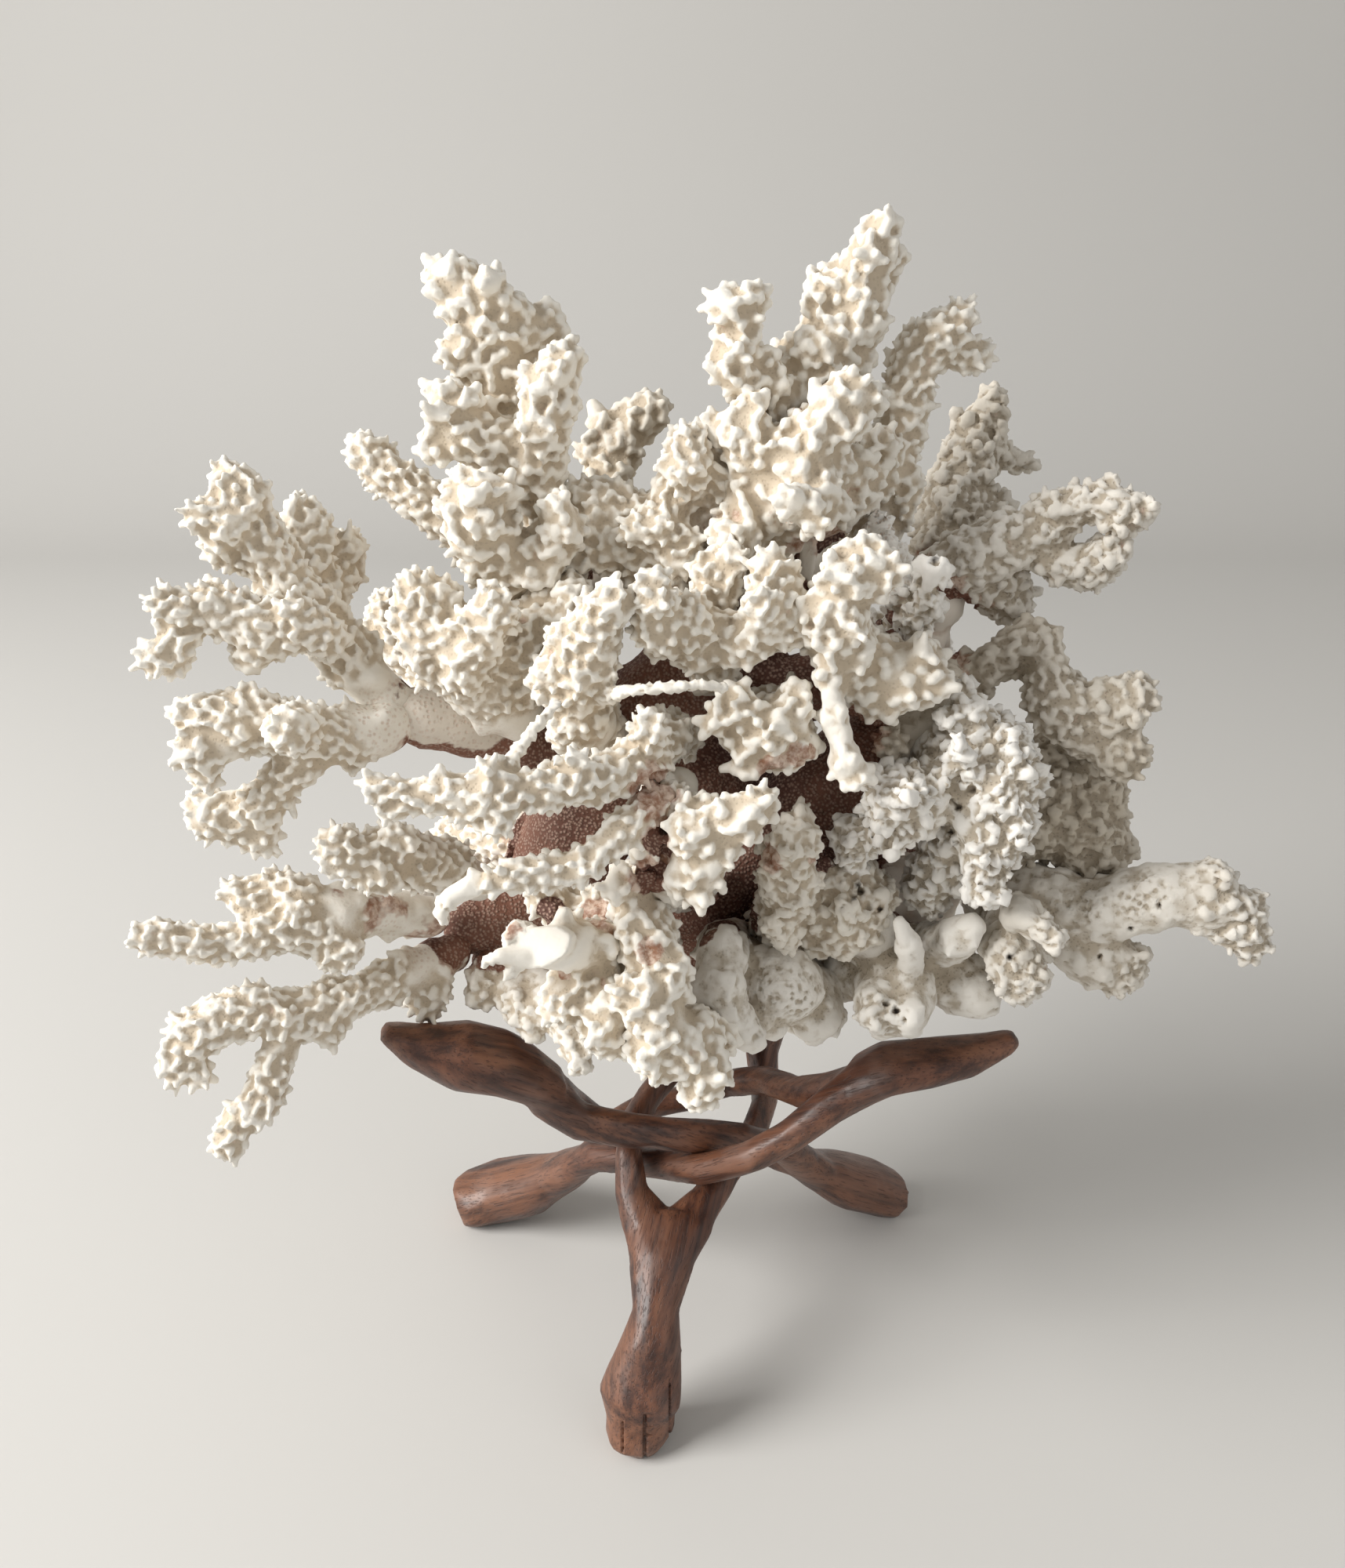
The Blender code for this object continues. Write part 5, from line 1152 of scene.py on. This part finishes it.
def splitNear(mesh, lines):
    # finer triangles round the cracks
    bm = bmesh.new()
    bm.from_mesh(mesh)
    for _ in range(2):
        across, up = seen(np.array([vert.co[:] for vert in bm.verts]))
        bm.verts.index_update()
        near = [vert.normal.y < 0 and any(abs(side - x) < woodWork["crackReach"] and height < high + 1
                                          for x, _, high, _ in lines)
                for vert, side, height in zip(bm.verts, across, up)]
        edges = [edge for edge in bm.edges if all(near[vert.index] for vert in edge.verts)]
        bmesh.ops.subdivide_edges(bm, edges=edges, cuts=1)
        bmesh.ops.triangulate(bm, faces=bm.faces)
    bm.to_mesh(mesh)
    bm.free()


def carveLeg(node):
    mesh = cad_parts[node].data.copy()
    bm = bmesh.new()
    bm.from_mesh(mesh)
    bmesh.ops.remove_doubles(bm, verts=bm.verts, dist=0.02 * mm)
    bm.to_mesh(mesh)
    bm.free()
    mesh.materials.clear()
    obj = newPiece(node.replace("stand_", "wood_"), mesh)
    reskin(obj, woodWork["voxel"], woodWork["smoothing"], 0.5)
    if node in cracks:
        splitNear(obj.data, cracks[node])
    points, facing = coordinates(obj.data), normals(obj.data)
    middle = points.mean(0)
    axes = np.linalg.svd((points - middle)[::7], full_matrices=False)[2]
    grain = (points - middle) @ axes.T
    spots = grain / (woodWork["cell"] * mm) / np.array([woodWork["stretch"], 1, 1])
    gaps = np.array([noise.voronoi(spot)[0][0] for spot in spots.tolist()])
    scoop = (np.clip(gaps, 0, 0.8) / 0.8) ** 2 * woodWork["scoop"]
    points = points + facing * ((woodWork["swell"] - woodWork["scoop"] * 0.4 + scoop) * mm)[:, None]
    across, up = seen(points)
    for x, low, high, width in cracks.get(node, ()):
        inside = 1 - ramp(np.abs(across - x) / width, 0.3, 1.0)
        inside = inside * ramp(up, low - 1, low) * (1 - ramp(up, high - 2, high))
        points -= facing * (inside * (facing[:, 1] < -0.2) * woodWork["crackDepth"] * mm)[:, None]
    points[:, 2] = np.maximum(points[:, 2], 0)
    moveTo(obj.data, points)
    obj.data.attributes.new("grain", "FLOAT_VECTOR", "POINT").data.foreach_set("vector", grain.ravel())
    obj.data.polygons.foreach_set("use_smooth", np.ones(len(obj.data.polygons), dtype=bool))
    return obj


trunkAxes = Axes(corals["trunk"]["strands"])
finishes = {name: coralFinish(name.replace("_", " "), look) for name, look in coralLook.items()}
finishes["carved_wood"] = woodFinish()
total = 0


def showPiece(obj, node, slot):
    global total
    obj.data.materials.clear()
    obj.data.materials.append(finishes[slot])
    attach(obj, "root")
    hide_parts(node)
    total += len(trianglesOf(obj.data))


print("growing the coral")
for number, (name, piece) in enumerate(corals.items()):
    obj = growPiece(name, piece, Axes(piece["strands"]), 40 + number)
    showPiece(obj, "coral_trunk" if name == "trunk" else "coral_branch_" + name, piece["slot"])
    print("  ", name, len(obj.data.polygons))

print("carving the stand")
for node in ("stand_leg_front", "stand_leg_right", "stand_leg_left"):
    showPiece(carveLeg(node), node, "carved_wood")
print("triangles in all:", total)

print("floor, lights and camera")
studio = {"floor": (0.60, 0.59, 0.57), "width": 6.0, "near": -2.5, "far": 1.6, "wall": 2.6, "bend": 0.5,
          "steps": 12, "white": (1.0, 0.985, 0.96), "windowPower": 48, "fillPower": 5, "sky": 0.42,
          "lens": 29.7}


def makeFloor():
    bm = bmesh.new()
    start = [bm.verts.new((side * studio["width"] / 2, studio["near"], 0)) for side in (-1, 1)]
    edge = bm.edges.new(start)
    route = [Vector((0, studio["far"] - studio["bend"], 0))]
    for step in range(1, studio["steps"] + 1):
        turn = math.pi / 2 * step / studio["steps"]
        route.append(Vector((0, studio["far"] - studio["bend"] * (1 - math.sin(turn)),
                             studio["bend"] * (1 - math.cos(turn)))))
    route.append(Vector((0, studio["far"], studio["wall"])))
    at = Vector((0, studio["near"], 0))
    for spot in route:
        made = bmesh.ops.extrude_edge_only(bm, edges=[edge])["geom"]
        verts = [part for part in made if isinstance(part, bmesh.types.BMVert)]
        bmesh.ops.translate(bm, vec=spot - at, verts=verts)
        edge = next(part for part in made if isinstance(part, bmesh.types.BMEdge))
        at = spot
    bmesh.ops.recalc_face_normals(bm, faces=bm.faces)
    mesh = bpy.data.meshes.new("floor")
    bm.to_mesh(mesh)
    bm.free()
    f = Finish("floor")
    f.set(Base_Color=(*studio["floor"], 1.0), Roughness=0.75)
    mesh.materials.append(f.material)
    for face in mesh.polygons:
        face.use_smooth = True
    floor = newPiece("floor", mesh)


def addLight(name, spot, aim, size, power):
    lamp = bpy.data.lights.new(name, "AREA")
    lamp.shape, lamp.size, lamp.size_y = "RECTANGLE", size[0], size[1]
    lamp.energy, lamp.color = power, studio["white"]
    obj = newPiece(name, lamp)
    obj.location = spot
    obj.rotation_euler = (Vector(aim) - Vector(spot)).to_track_quat("-Z", "Y").to_euler()


makeFloor()
addLight("window", (-1.5, -0.55, 1.05), (0, 0, 0.19), (1.0, 1.0), studio["windowPower"])
addLight("fill", (1.4, -1.2, 1.0), (0, 0, 0.16), (1.6, 1.6), studio["fillPower"])
world = bpy.data.worlds.new("room")
world.use_nodes = True
world.node_tree.nodes["Background"].inputs[0].default_value = (1.0, 0.985, 0.955, 1.0)
world.node_tree.nodes["Background"].inputs[1].default_value = studio["sky"]
bpy.context.scene.world = world
bpy.context.scene.view_settings.view_transform = "Standard"

camera = bpy.data.objects.new("camera", bpy.data.cameras.new("camera"))
bpy.context.scene.collection.objects.link(camera)
camera.data.lens, camera.data.sensor_width = studio["lens"], 36.0
camera.data.clip_start, camera.data.clip_end = 0.01, 20.0
camera.location = (-view["across"] * mm, -(view["distance"] + view["deep"]) * mm, view["height"] * mm)
camera.rotation_euler = (math.pi / 2 - view["tilt"], 0, 0)
bpy.context.scene.camera = camera
